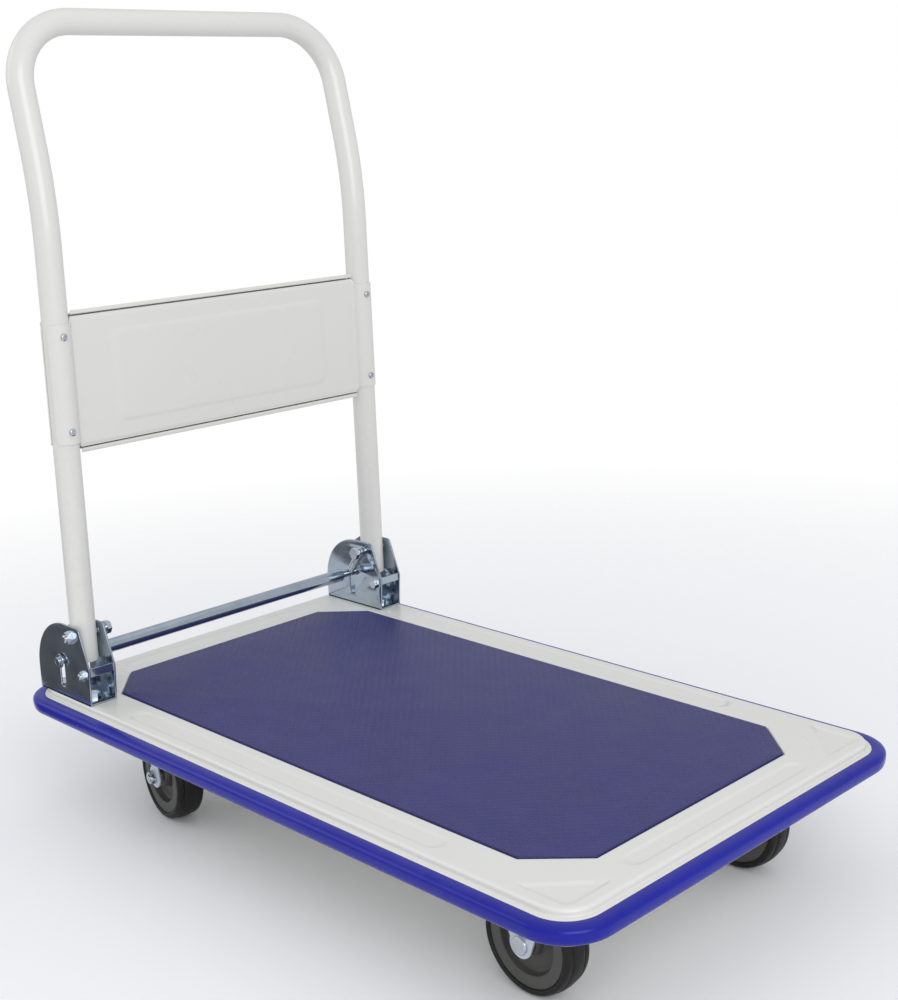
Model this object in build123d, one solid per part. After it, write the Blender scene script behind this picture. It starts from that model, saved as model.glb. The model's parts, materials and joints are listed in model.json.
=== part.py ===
from build123d import *
import math
import os

# Folding platform cart. Millimetres. +X is the way the cart rolls with the handle behind,
# +Y is to the left of a person pushing it, +Z is up. The origin is on the floor, under the
# middle of the deck.

# ---------------------------------------------------------------- deck
deck_top = 133.0            # height of the deck's painted rim above the floor
deck_length = 776.0         # over the pressed ledge, without the bumper
deck_width = 454.0
deck_corner = 36.0
deck_sheet = 1.2
shoulder_inset = 5.0        # the raised top is this much smaller than the ledge, all round
ledge_drop = 6.0
skirt_depth = 22.0          # skirt below the ledge
shoulder_radius = 2.5
hem_width = 9.0             # inward return at the foot of the skirt

# ---------------------------------------------------------------- mat and pressings
mat_length = 670.0
mat_width = 352.0
mat_chamfer_x = 47.0
mat_chamfer_y = 42.0
mat_thickness = 4.0
mat_recess = 3.0
mat_gap = 1.0               # between the mat's edge and the recess wall
press_depth = 1.2
press_margin = 12.0         # of a pressing from the mat's recess and from the rim's edge
side_press_length = 430.0
front_press_length = 230.0
corner_press_leg = 46.0

# ---------------------------------------------------------------- bumper
bumper_reach = 13.0
bumper_height = 16.0
bumper_nose = 3.2
bumper_drop = 0.4           # top of the bumper below the ledge

# ---------------------------------------------------------------- cross members
member_sheet = 1.5
member_depth = 10.0
member_web = 104.0
member_flange = 16.0
member_end_gap = 20.0       # from the skirt to the end of a member
middle_member_x = 0.0

# ---------------------------------------------------------------- hinge brackets
bracket_y = 204.7           # centre plane of each bracket and handle leg
bracket_rear = -378.0
bracket_front = -278.7
bracket_height = 82.0
bracket_flat = 30.0         # length of the flat top
bracket_sheet = 2.0
bracket_arc = 56.0          # radius of the rear edge
knee_x = -276.0
knee_z = 39.0
strap_height = 9.0
strap_drop = 7.0            # strap's top edge below the knee
cheek_clearance = 0.4

# ---------------------------------------------------------------- handle
tube_diameter = 27.2
tube_wall = 1.5
pivot_x = -308.0
pivot_height = 70.0         # above the deck's rim
tail_length = 28.0          # of the leg below the pivot
bend_height = 525.0         # above the deck's rim
bend_angle = 12.0
bend_radius = 486.0
top_height = 701.0          # centre of the top rail above the deck's rim
corner_radius = 68.0

# ---------------------------------------------------------------- handle panel
panel_bottom = 270.0        # above the deck's rim
panel_height = 136.0
panel_sheet = 1.2
panel_fit = 0.15            # between the shells and the legs
panel_setback = 5.0         # of each shell's face from the plane of the legs
panel_wrap = 67.0           # degrees of the leg that a shell covers on the outside
panel_tab_cut = 6.0         # the tabs are shorter than the face by this at each end
lip_height = 4.5
lip_gap = 0.9
emboss_margin_y = 50.0
emboss_margin_z = 20.0
emboss_rise = 1.0
screw_inset = 19.0

# ---------------------------------------------------------------- foot bar
rod_diameter = 9.0
rod_x = -330.0
rod_height = 40.0           # above the deck's rim, with the bar up
rod_travel = 25.0
slot_clearance = 0.6
rod_overhang = 6.0
sleeve_diameter = 15.0
sleeve_wall = 2.0
sleeve_fit = 0.05
spring_room = 10.0          # between a bracket's inner cheek and the pivot bolt's head
sleeve_end_gap = 18.0       # from the inner cheek to the end of the sleeve
clip_diameter = 15.0
clip_thickness = 1.2

# ---------------------------------------------------------------- springs
spring_wire = 1.2
spring_mean = 6.6
spring_coils = 10
spring_loop_fit = 0.3

# ---------------------------------------------------------------- fasteners
pivot_bolt_diameter = 8.0
stop_bolt_diameter = 6.0
stop_bolt_x = -288.0
stop_bolt_height = 32.0
base_bolt_diameter = 8.0
base_bolt_x = (-298.0, -352.0)
backing_sheet = 3.0         # of the plates under the deck that take the brackets' bolts
backing_width = 28.0
backing_inset = 12.0
hole_clearance = 0.3
running_clearance = 0.06
screw_diameter = 4.0

# ---------------------------------------------------------------- casters
wheel_diameter = 97.0
wheel_width = 30.0
tread_thickness = 7.5
rim_width = 27.0
rim_recess = 8.5
rim_ring = 11.0
hub_diameter = 25.0
axle_diameter = 8.0
bush_wall = 1.6
caster_y = 147.0
front_caster_x = 279.0
rear_caster_x = -271.0
caster_trail = 30.0
rear_yaw = {"left": -6.0, "right": -10.0}
caster_plate = 3.0
plate_length = 94.0
plate_width = 66.0
plate_corner = 8.0
plate_hole_x = 74.0
plate_hole_y = 45.0
plate_bolt_diameter = 8.0
fork_sheet = 2.5
fork_gap = 3.0              # between a wheel's side and the fork
front_fork_top = 59.0
rear_fork_top = 62.0
fork_taper_drop = 21.0      # a leg is straight for this much below the plate, then tapers
fork_foot = 24.0
race_diameter = 56.0
race_depth = 10.0
ball_diameter = 6.0
ball_circle = 40.0
ball_count = 14
kingpin_diameter = 12.0

# ---------------------------------------------------------------- values that follow
ledge_z = deck_top - ledge_drop
skirt_bottom = ledge_z - skirt_depth
top_length = deck_length - 2 * shoulder_inset
top_width = deck_width - 2 * shoulder_inset
top_corner = deck_corner - shoulder_inset
recess_floor = deck_top - mat_recess
recess_underside = recess_floor - deck_sheet
member_bottom = recess_underside - member_depth
axle_z = wheel_diameter / 2
tube_radius = tube_diameter / 2
bracket_half = tube_radius + cheek_clearance + bracket_sheet
pivot_z = deck_top + pivot_height
panel_z = deck_top + panel_bottom
rod_z = deck_top + rod_height
slot_top = rod_z + (rod_diameter + slot_clearance) / 2
slot_bottom = rod_z - rod_travel - (rod_diameter + slot_clearance) / 2
SIDES = {"left": 1, "right": -1}


def write(name, shape):
    """Write one node; a list of solids becomes one group."""
    if isinstance(shape, list):
        shape = Compound(children=shape)
    export_step(shape, "parts/" + name + ".step")


def along_y(shape, x, y, z):
    """Turn a shape built along +Z so that it lies along +Y, with its start at x, y, z."""
    return Pos(x, y, z) * Rot(-90, 0, 0) * shape


def rod_along_y(radius, y0, y1, x, z):
    return along_y(extrude(Circle(radius), y1 - y0), x, y0, z)


def post(radius, z0, z1, x, y):
    return Pos(x, y, z0) * extrude(Circle(radius), z1 - z0)


def rounded_block(length, width, radius, z0, z1):
    return Pos(0, 0, z0) * extrude(RectangleRounded(length, width, radius), z1 - z0)


def hexagon(across_flats):
    return RegularPolygon(across_flats / math.sqrt(3), 6)


def hex_bolt(diameter, length):
    """Bolt along +Z from the underside of its head, with the head below zero."""
    across = 1.6 * diameter
    head_height = 0.62 * diameter
    head = Pos(0, 0, -head_height) * extrude(hexagon(across), head_height)
    dome = Pos(0, 0, -head_height) * extrude(Circle(across * 0.56), head_height, taper=-12)
    shank = extrude(Circle(diameter / 2), length)
    return (head & dome) + chamfer(shank.edges().sort_by(Axis.Z)[-1], 0.1 * diameter)


def nut_height(diameter):
    return 0.8 * diameter


def hex_nut(diameter):
    """Nut along +Z from its seat at zero."""
    height = nut_height(diameter)
    blank = extrude(hexagon(1.6 * diameter), height)
    cone = extrude(Circle(0.95 * diameter), height, taper=12)
    return (blank & cone) - extrude(Circle(diameter / 2), height)


def flip(shape):
    return Rot(180, 0, 0) * shape


# ================================================================ deck
def mat_outline(grow):
    x = mat_length / 2 + grow
    y = mat_width / 2 + grow
    cx = mat_chamfer_x + grow * 0.6
    cy = mat_chamfer_y + grow * 0.6
    points = [
        (x, y - cy), (x - cx, y), (cx - x, y), (-x, y - cy),
        (-x, cy - y), (cx - x, -y), (x - cx, -y), (x, cy - y),
    ]
    return make_face(Polyline(*points, close=True))


def press(pan, outline, wider_outline, depth):
    """Press an outline down into the deck's sheet, keeping the sheet's thickness."""
    bottom = deck_top - depth - deck_sheet
    backing = Pos(0, 0, bottom) * extrude(wider_outline, depth + deck_sheet / 2)
    hollow = Pos(0, 0, deck_top - depth) * extrude(outline, depth)
    return (pan + backing) - hollow


def rim_pressings():
    """Centre, length, width and angle of each long pressing in the rim."""
    band_y = (top_width - mat_width) / 2
    band_x = (top_length - mat_length) / 2
    side = (side_press_length, band_y - 2 * press_margin, 0)
    front = (front_press_length, band_x - 2 * press_margin, 90)
    y = mat_width / 2 + band_y / 2
    x = mat_length / 2 + band_x / 2
    return [(0, y, *side), (0, -y, *side), (x, 0, *front), (-x, 0, *front)]


def corner_triangle(sign, grow):
    """Shallow triangle that points into a front corner of the deck."""
    leg = corner_press_leg + grow * 2.4
    tip_x = top_length / 2 - press_margin - 4 + grow
    tip_y = top_width / 2 - press_margin - 4 + grow
    points = [(tip_x, tip_y), (tip_x - leg, tip_y), (tip_x, tip_y - leg)]
    face = make_face(Polyline(*points, close=True))
    face = fillet(face.vertices(), 5 + grow)
    return face if sign > 0 else mirror(face, Plane.XZ)


def deck_pan():
    lower = rounded_block(deck_length, deck_width, deck_corner, skirt_bottom, ledge_z)
    upper = rounded_block(top_length, top_width, top_corner, ledge_z - 1, deck_top)
    shell = lower + upper
    shell = fillet(shell.edges().group_by(Axis.Z)[-1], shoulder_radius)
    inset = 2 * deck_sheet
    lower_in = rounded_block(
        deck_length - inset, deck_width - inset, deck_corner - deck_sheet,
        skirt_bottom, ledge_z - deck_sheet,
    )
    upper_in = rounded_block(
        top_length - inset, top_width - inset, top_corner - deck_sheet,
        skirt_bottom, deck_top - deck_sheet,
    )
    pan = shell - lower_in - upper_in
    hem = rounded_block(
        deck_length, deck_width, deck_corner, skirt_bottom, skirt_bottom + deck_sheet,
    )
    hem -= rounded_block(
        deck_length - 2 * hem_width, deck_width - 2 * hem_width, deck_corner - hem_width,
        skirt_bottom, skirt_bottom + deck_sheet,
    )
    pan += hem
    pan = press(pan, mat_outline(mat_gap), mat_outline(mat_gap + deck_sheet), mat_recess)
    for x, y, length, width, turn in rim_pressings():
        at = Pos(x, y) * Rot(0, 0, turn)
        inner = at * SlotOverall(length, width)
        outer = at * SlotOverall(length + inset, width + inset)
        pan = press(pan, inner, outer, press_depth)
    for sign in (1, -1):
        pan = press(pan, corner_triangle(sign, 0), corner_triangle(sign, deck_sheet), press_depth)
    for side in SIDES.values():
        for x in base_bolt_x:
            pan -= post(base_bolt_diameter / 2 + hole_clearance, skirt_bottom, deck_top, x,
                        side * bracket_y)
    return pan


def deck_mat():
    mat = Pos(0, 0, recess_floor) * extrude(mat_outline(0), mat_thickness)
    return chamfer(mat.edges().group_by(Axis.Z)[-1], 0.6)


def edge_bumper():
    """Vinyl bumper strip that runs round the skirt under the ledge."""
    top = -bumper_drop
    points = [
        (0, top), (bumper_reach * 0.6, top), (bumper_reach, top - bumper_nose),
        (bumper_reach, top - 2 * bumper_nose), (bumper_reach * 0.3, -bumper_height),
        (0, -bumper_height),
    ]
    profile = make_face(Polyline(*points, close=True))
    rounded = profile.vertices().filter_by(lambda v: v.X > bumper_reach * 0.2)
    profile = fillet(rounded, bumper_nose * 0.9)
    path = RectangleRounded(deck_length, deck_width, deck_corner).wire().moved(Pos(0, 0, ledge_z))
    seat = Plane(origin=(deck_length / 2, 0, ledge_z), x_dir=(1, 0, 0), z_dir=(0, 1, 0))
    profile = seat * Rot(180, 0, 0) * profile
    return sweep(profile, path=path)


def cross_member(x):
    """Hat-section stiffener, open upwards, with its flanges against the deck."""
    length = deck_width - 2 * (deck_sheet + member_end_gap)
    half = member_web / 2
    top = recess_underside
    web = Pos(x, 0, member_bottom + member_sheet / 2) * Box(member_web, length, member_sheet)
    shape = web
    for side in (1, -1):
        leg_x = x + side * (half - member_sheet / 2)
        shape += Pos(leg_x, 0, (top + member_bottom) / 2) * Box(member_sheet, length, member_depth)
        flange_x = x + side * (half + member_flange / 2 - member_sheet)
        shape += Pos(flange_x, 0, top - member_sheet / 2) * Box(member_flange, length, member_sheet)
    return shape


def bolted_member(x):
    shape = cross_member(x)
    for side in SIDES.values():
        for bx, by in plate_holes(x, side * caster_y):
            shape -= post(plate_bolt_diameter / 2 + hole_clearance, member_bottom,
                          member_bottom + member_sheet, bx, by)
    return shape


# ================================================================ hinge brackets
def cheek_outline():
    """Side view of a bracket's cheek, in X and Z."""
    top = deck_top + bracket_height
    flat_rear = bracket_rear + bracket_arc
    arc_z = top - bracket_arc
    flat_front = flat_rear + bracket_flat
    lines = [
        Line((bracket_rear, deck_top), (bracket_front, deck_top)),
        Line((bracket_front, deck_top), (knee_x, deck_top + knee_z)),
        Line((knee_x, deck_top + knee_z), (flat_front, top)),
        Line((flat_front, top), (flat_rear, top)),
        CenterArc((flat_rear, arc_z), bracket_arc, 90, 90),
        Line((bracket_rear, arc_z), (bracket_rear, deck_top)),
    ]
    face = make_face(lines)
    corners = [v for v in face.vertices() if v.Y > top - 1 and v.X > flat_rear + 1]
    return fillet(corners, 4)


def cheek(y0):
    """A cheek from y0 to y0 + sheet, with its slot and bolt holes."""
    face = cheek_outline()
    face -= Pos(pivot_x, pivot_z) * Circle(pivot_bolt_diameter / 2 + hole_clearance)
    face -= Pos(stop_bolt_x, deck_top + stop_bolt_height) * Circle(
        stop_bolt_diameter / 2 + hole_clearance)
    slot_centre = (slot_top + slot_bottom) / 2
    slot = SlotOverall(slot_top - slot_bottom, rod_diameter + slot_clearance, rotation=90)
    face -= Pos(rod_x, slot_centre) * slot
    return Pos(0, y0 + bracket_sheet, 0) * extrude(Plane.XZ * face, bracket_sheet)


def hinge_bracket(side):
    centre = side * bracket_y
    low = centre - bracket_half
    shape = cheek(low) + cheek(centre + bracket_half - bracket_sheet)
    base_length = bracket_front - bracket_rear
    base = Pos(bracket_rear + base_length / 2, centre, deck_top + bracket_sheet / 2)
    shape += base * Box(base_length, 2 * bracket_half, bracket_sheet)
    strap_z = deck_top + knee_z - strap_drop + strap_height / 2
    strap = Pos(bracket_front - bracket_sheet / 2, centre, strap_z)
    shape += strap * Box(bracket_sheet + 2, 2 * bracket_half, strap_height)
    for x in base_bolt_x:
        shape -= post(base_bolt_diameter / 2 + hole_clearance, deck_top,
                      deck_top + bracket_sheet, x, centre)
    return shape


def base_bolts():
    """Bolts up through each bracket's base, with their heads inside the bracket."""
    bolts = []
    for side in SIDES.values():
        for x in base_bolt_x:
            bolt = flip(hex_bolt(base_bolt_diameter, base_bolt_length()))
            bolts.append(Pos(x, side * bracket_y, deck_top + bracket_sheet) * bolt)
    return bolts


def base_bolt_length():
    return bracket_sheet + deck_sheet + backing_sheet + nut_height(base_bolt_diameter) + 2


def backing_plates():
    """A plate under the deck below each bracket, which spreads the bolts' load."""
    length = bracket_front - bracket_rear - backing_inset
    plates = []
    for side in SIDES.values():
        middle = bracket_rear + backing_inset + length / 2
        at = Pos(middle, side * bracket_y, deck_top - deck_sheet - backing_sheet)
        shape = at * extrude(RectangleRounded(length, backing_width, backing_inset), backing_sheet)
        for x in base_bolt_x:
            shape -= post(base_bolt_diameter / 2 + hole_clearance,
                          deck_top - deck_sheet - backing_sheet, deck_top, x, side * bracket_y)
        plates.append(shape)
    return plates


def base_nuts():
    seat = deck_top - deck_sheet - backing_sheet
    return [
        Pos(x, side * bracket_y, seat) * flip(hex_nut(base_bolt_diameter))
        for side in SIDES.values() for x in base_bolt_x
    ]


def across_bracket(side, bolt, inner_reach, x, z):
    """Place a bolt along Y through both cheeks, with its head on the deck's inner side."""
    inner = side * (bracket_y - bracket_half - inner_reach)
    turn = Rot(-90, 0, 0) if side > 0 else Rot(90, 0, 0)
    return Pos(x, inner, z) * turn * bolt


def on_outer_cheek(side, nut, x, z):
    outer = side * (bracket_y + bracket_half)
    turn = Rot(-90, 0, 0) if side > 0 else Rot(90, 0, 0)
    return Pos(x, outer, z) * turn * nut


def pivot_bolt(side):
    length = spring_room + 2 * bracket_half + nut_height(pivot_bolt_diameter) + 2
    bolt = hex_bolt(pivot_bolt_diameter, length)
    return across_bracket(side, bolt, spring_room, pivot_x, pivot_z)


def stop_bolt(side):
    length = 2 * bracket_half + nut_height(stop_bolt_diameter) + 1.5
    bolt = hex_bolt(stop_bolt_diameter, length)
    return across_bracket(side, bolt, 0, stop_bolt_x, deck_top + stop_bolt_height)


# ================================================================ handle
def handle_path():
    foot = pivot_z - tail_length
    vertex = deck_top + bend_height
    top = deck_top + top_height
    back = pivot_x - (top - vertex) * math.tan(math.radians(bend_angle))
    points = [
        (pivot_x, -bracket_y, foot), (pivot_x, -bracket_y, vertex), (back, -bracket_y, top),
        (back, bracket_y, top), (pivot_x, bracket_y, vertex), (pivot_x, bracket_y, foot),
    ]
    return FilletPolyline(*points, radius=[bend_radius, corner_radius, corner_radius, bend_radius])


def handle_tube():
    path = handle_path()
    foot = Plane(origin=(pivot_x, -bracket_y, pivot_z - tail_length), z_dir=(0, 0, 1))
    outside = sweep(foot * Circle(tube_radius), path=path)
    inside = sweep(foot * Circle(tube_radius - tube_wall), path=path)
    tube = outside - inside
    bush_radius = pivot_bolt_diameter / 2 + running_clearance + bush_wall
    for side in SIDES.values():
        y = side * bracket_y
        tube -= rod_along_y(bush_radius, y - tube_diameter, y + tube_diameter, pivot_x, pivot_z)
        for z in screw_heights():
            hole = extrude(Circle(screw_diameter / 2), 2 * tube_diameter, both=True)
            tube -= Pos(pivot_x, y, z) * Rot(0, 90, 0) * hole
    return tube


def pivot_bush(side):
    """Steel bush through a leg; the pivot bolt runs inside it."""
    inner = pivot_bolt_diameter / 2 + running_clearance
    y0 = side * bracket_y - tube_radius
    y1 = side * bracket_y + tube_radius
    outer = rod_along_y(inner + bush_wall, y0, y1, pivot_x, pivot_z)
    return outer - rod_along_y(inner, y0, y1, pivot_x, pivot_z)


def screw_heights():
    return (panel_z + screw_inset, panel_z + panel_height - screw_inset)


def leg_wrap(side, towards):
    """Ring sector round a leg in plan: towards is +1 for the front shell, -1 for the back."""
    inner = tube_radius + panel_fit
    ring = Circle(inner + panel_sheet) - Circle(inner)
    meet = math.degrees(math.acos(panel_setback / (inner + panel_sheet / 2)))
    far = 40.0
    sweep_angles = [-meet, -meet / 2, 0, panel_wrap / 2, panel_wrap]
    points = [(0, 0)]
    for angle in sweep_angles:
        a = math.radians(angle)
        points.append((towards * far * math.cos(a), side * far * math.sin(a)))
    wedge = make_face(Polyline(*points, close=True))
    return Pos(pivot_x, side * bracket_y) * (ring & wedge)


def shell_plan(towards):
    inner = tube_radius + panel_fit
    across = bracket_y - math.sqrt((inner + panel_sheet / 2) ** 2 - panel_setback ** 2)
    face_x = pivot_x + towards * panel_setback
    face = Pos(face_x, 0) * Rectangle(panel_sheet, 2 * across)
    return face + leg_wrap(1, towards) + leg_wrap(-1, towards)


def tab_trim(z0, z1):
    """Block that rounds the tabs off; the face between the legs stays full height."""
    reach = bracket_y + tube_diameter
    tabs = Pos(pivot_x, 0, (z0 + z1) / 2) * Rot(0, 90, 0) * extrude(
        RectangleRounded(z1 - z0 - 2 * panel_tab_cut,
                         2 * (bracket_y + (tube_radius + panel_fit + panel_sheet)
                              * math.sin(math.radians(panel_wrap))), 7),
        tube_diameter, both=True)
    middle = Pos(pivot_x, 0, (z0 + z1) / 2) * Box(
        2 * tube_diameter, 2 * (bracket_y - tube_radius), z1 - z0)
    return (tabs + middle) & (Pos(pivot_x, 0, (z0 + z1) / 2) * Box(2 * tube_diameter, 2 * reach,
                                                                  z1 - z0))


def emboss(shell, towards, z0, z1):
    """Raise a rounded rectangle in a shell's face, keeping the sheet's thickness."""
    width = 2 * (bracket_y - tube_radius - emboss_margin_y)
    height = z1 - z0 - 2 * emboss_margin_z
    face_x = pivot_x + towards * (panel_setback - panel_sheet / 2)
    at = Pos(face_x, 0, (z0 + z1) / 2) * Rot(0, 90 * towards, 0)
    raised = at * extrude(RectangleRounded(height, width, 9), emboss_rise + panel_sheet)
    hollow = at * extrude(RectangleRounded(height - 2 * panel_sheet, width - 2 * panel_sheet, 8),
                          emboss_rise)
    return (shell + raised) - hollow


def drill_screws(shell):
    for side in SIDES.values():
        for z in screw_heights():
            hole = extrude(Circle(screw_diameter / 2 + hole_clearance), 2 * tube_diameter, both=True)
            shell -= Pos(pivot_x, side * bracket_y, z) * Rot(0, 90, 0) * hole
    return shell


def panel_front():
    z1 = panel_z + panel_height
    shell = Pos(0, 0, panel_z) * extrude(shell_plan(1), panel_height)
    shell &= tab_trim(panel_z, z1)
    return drill_screws(emboss(shell, 1, panel_z, z1))


def panel_back():
    """Back shell: its top and bottom edges come forward past the front shell as a lip."""
    z1 = panel_z + panel_height
    low = panel_z - lip_gap - panel_sheet
    high = z1 + lip_gap + panel_sheet
    shell = Pos(0, 0, low) * extrude(shell_plan(-1), high - low)
    shell &= tab_trim(low, high)
    half_width = bracket_y - tube_radius - panel_fit - 1.5
    back_x = pivot_x - panel_setback - panel_sheet / 2
    lip_x = pivot_x + panel_setback + panel_sheet / 2
    for z, way in ((low + panel_sheet / 2, -1), (high - panel_sheet / 2, 1)):
        flange = Pos((back_x + lip_x) / 2, 0, z)
        shell += flange * Box(lip_x - back_x, 2 * half_width, panel_sheet)
        lip = Pos(lip_x - panel_sheet / 2, 0, z + way * lip_height / 2)
        shell += lip * Box(panel_sheet, 2 * half_width, lip_height)
    return drill_screws(emboss(shell, -1, panel_z, z1))


def panel_screw():
    """Cross-head screw along +Z from under its head."""
    head = extrude(Circle(screw_diameter * 0.95), -2.4)
    head = fillet(head.edges().group_by(Axis.Z)[0], 1.4)
    cross = Rectangle(screw_diameter * 0.9, 0.9) + Rectangle(0.9, screw_diameter * 0.9)
    head -= Pos(0, 0, -2.4) * extrude(cross, 1.3)
    return head + extrude(Circle(screw_diameter / 2), 7)


def panel_screws():
    seat = tube_radius + panel_fit + panel_sheet
    screws = []
    for side in SIDES.values():
        for z in screw_heights():
            for towards in (1, -1):
                at = Pos(pivot_x + towards * seat, side * bracket_y, z)
                screws.append(at * Rot(0, -90 * towards, 0) * panel_screw())
    return screws


# ================================================================ foot bar
def lock_rod():
    end = bracket_y + bracket_half + rod_overhang
    rod = rod_along_y(rod_diameter / 2, -end, end, rod_x, rod_z)
    return chamfer(rod.edges().filter_by(GeomType.CIRCLE), 0.8)


def foot_sleeve():
    end = bracket_y - bracket_half - sleeve_end_gap
    outer = rod_along_y(sleeve_diameter / 2, -end, end, rod_x, rod_z)
    outer = fillet(outer.edges().filter_by(GeomType.CIRCLE), 1)
    return outer - rod_along_y(rod_diameter / 2 + sleeve_fit, -end, end, rod_x, rod_z)


def rod_clips():
    """Push-on washers at the rod's ends, outside the brackets."""
    clips = []
    for side in SIDES.values():
        y = side * (bracket_y + bracket_half + 2.0)
        y0 = min(y, y + side * clip_thickness)
        ring = rod_along_y(clip_diameter / 2, y0, y0 + clip_thickness, rod_x, rod_z)
        clips.append(ring - rod_along_y(rod_diameter / 2, y0, y0 + clip_thickness, rod_x, rod_z))
    return clips


def spring_line(length, upper_eye, lower_eye):
    """Centre line of a spring's wire: an eye round zero, the coil, and an eye at length."""
    eye_points = 12
    turn_points = 8
    opening = 40
    line = []
    for i in range(eye_points + 1):
        a = math.radians(opening + (360 - opening) * i / eye_points)
        line.append((-upper_eye * math.sin(a), 0, upper_eye * math.cos(a)))
    start = upper_eye + spring_wire * 0.75
    rise = length - lower_eye - spring_wire * 0.75 - start
    steps = spring_coils * turn_points
    for i in range(1, steps):
        a = 2 * math.pi * i / turn_points
        x = spring_mean / 2 * math.sin(a)
        y = spring_mean / 2 * math.cos(a)
        line.append((x, y, start + rise * i / steps))
    for i in range(eye_points + 1):
        a = math.radians((360 - opening) * i / eye_points)
        line.append((lower_eye * math.sin(a), 0, length - lower_eye * math.cos(a)))
    return line


def lock_spring(side):
    """Extension spring from the pivot bolt down to the lock rod."""
    y = side * (bracket_y - bracket_half - spring_room / 2)
    run_x = rod_x - pivot_x
    run_z = rod_z - pivot_z
    eye_fit = spring_loop_fit + spring_wire / 2
    upper_eye = pivot_bolt_diameter / 2 + eye_fit
    lower_eye = rod_diameter / 2 + eye_fit
    path = Spline(*spring_line(math.hypot(run_x, run_z), upper_eye, lower_eye))
    start = Plane(origin=path @ 0, z_dir=path % 0)
    spring = sweep(start * Circle(spring_wire / 2), path=path)
    tilt = math.degrees(math.atan2(run_x, run_z))
    return Pos(pivot_x, y, pivot_z) * Rot(0, tilt, 0) * spring


# ================================================================ casters
def plate_holes(x, y):
    return [
        (x + sx * plate_hole_x / 2, y + sy * plate_hole_y / 2)
        for sx in (1, -1) for sy in (1, -1)
    ]


def top_plate():
    """Caster's top plate about its own centre, with its upper face at zero."""
    plate = Pos(0, 0, -caster_plate) * extrude(
        RectangleRounded(plate_length, plate_width, plate_corner), caster_plate)
    for x, y in plate_holes(0, 0):
        plate -= post(plate_bolt_diameter / 2 + hole_clearance, -caster_plate, 0, x, y)
    return plate


def fork_leg(top_width_x, top_z, axle_x):
    """Side view of a fork's leg: wide at the top, round at the axle."""
    half = top_width_x / 2
    foot = fork_foot / 2
    taper_z = top_z - fork_taper_drop
    top = Polyline((-half, top_z), (half, top_z), (half, taper_z), (axle_x + foot, axle_z),
                   (axle_x - foot, axle_z), (-half, taper_z), close=True)
    face = make_face(top) + Pos(axle_x, axle_z) * Circle(foot)
    return face - Pos(axle_x, axle_z) * Circle(axle_diameter / 2 + hole_clearance)


def fork_legs(top_width_x, top_z, axle_x):
    inner = wheel_width / 2 + fork_gap
    leg = Plane.XZ * fork_leg(top_width_x, top_z, axle_x)
    shape = Pos(0, inner + fork_sheet, 0) * extrude(leg, fork_sheet)
    return shape + Pos(0, -inner, 0) * extrude(leg, fork_sheet)


def front_fork(side):
    """Rigid caster's frame: top plate and two legs of one pressing."""
    legs = fork_legs(front_fork_top, member_bottom - caster_plate, 0)
    shape = legs + Pos(0, 0, member_bottom) * top_plate()
    return Pos(front_caster_x, side * caster_y, 0) * shape


def swivel_place(side_name):
    """Where a rear caster's swivelling parts sit: kingpin position and yaw."""
    side = SIDES[side_name]
    return Pos(rear_caster_x, side * caster_y, 0) * Rot(0, 0, rear_yaw[side_name])


race_top = member_bottom - caster_plate
ball_z = race_top - race_depth / 2


def ball_seat():
    return Torus(ball_circle / 2, ball_diameter / 2 + running_clearance)


def rear_plate(side):
    """Swivel caster's fixed plate with the pressed upper half of its ball race."""
    shape = Pos(0, 0, member_bottom) * top_plate()
    cup = post(race_diameter / 2, ball_z + 0.6, race_top, 0, 0)
    cup -= Pos(0, 0, ball_z) * ball_seat()
    shape += cup
    shape -= post(kingpin_diameter / 2, ball_z, member_bottom, 0, 0)
    return Pos(rear_caster_x, side * caster_y, 0) * shape


def race_balls(side_name):
    balls = []
    for i in range(ball_count):
        a = 2 * math.pi * i / ball_count
        x = ball_circle / 2 * math.cos(a)
        y = ball_circle / 2 * math.sin(a)
        balls.append(swivel_place(side_name) * Pos(x, y, ball_z) * Sphere(ball_diameter / 2))
    return balls


fork_top = race_top - race_depth


def rear_fork(side_name):
    """Swivel fork: a crown with the lower half of the race, and two trailing legs."""
    width = 2 * (wheel_width / 2 + fork_gap + fork_sheet)
    crown = Pos(0, 0, fork_top - fork_sheet) * extrude(
        RectangleRounded(rear_fork_top, width, 6), fork_sheet)
    cup = post(race_diameter / 2, fork_top - fork_sheet, ball_z - 0.6, 0, 0)
    cup -= Pos(0, 0, ball_z) * ball_seat()
    shape = crown + cup + fork_legs(rear_fork_top, fork_top - fork_sheet / 2, caster_trail)
    shape -= post(kingpin_diameter / 2 + running_clearance, fork_top - fork_sheet, ball_z, 0, 0)
    return swivel_place(side_name) * shape


def kingpin(side):
    """Rivet that holds the swivel fork under its plate."""
    radius = kingpin_diameter / 2
    shape = post(radius, fork_top - fork_sheet - running_clearance, member_bottom, 0, 0)
    head_z = fork_top - fork_sheet - running_clearance
    head = fillet(post(radius + 4, head_z - 3, head_z, 0, 0).edges().group_by(Axis.Z)[0], 2)
    return Pos(rear_caster_x, side * caster_y, 0) * (shape + head)


def caster_bolts():
    bolts = []
    for x in (front_caster_x, rear_caster_x):
        for side in SIDES.values():
            for bx, by in plate_holes(x, side * caster_y):
                length = caster_plate + member_sheet + nut_height(plate_bolt_diameter) + 0.6
                bolt = hex_bolt(plate_bolt_diameter, length)
                bolts.append(Pos(bx, by, member_bottom - caster_plate) * bolt)
    return bolts


def caster_nuts():
    nuts = []
    for x in (front_caster_x, rear_caster_x):
        for side in SIDES.values():
            for bx, by in plate_holes(x, side * caster_y):
                nuts.append(Pos(bx, by, member_bottom + member_sheet) * hex_nut(plate_bolt_diameter))
    return nuts


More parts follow.
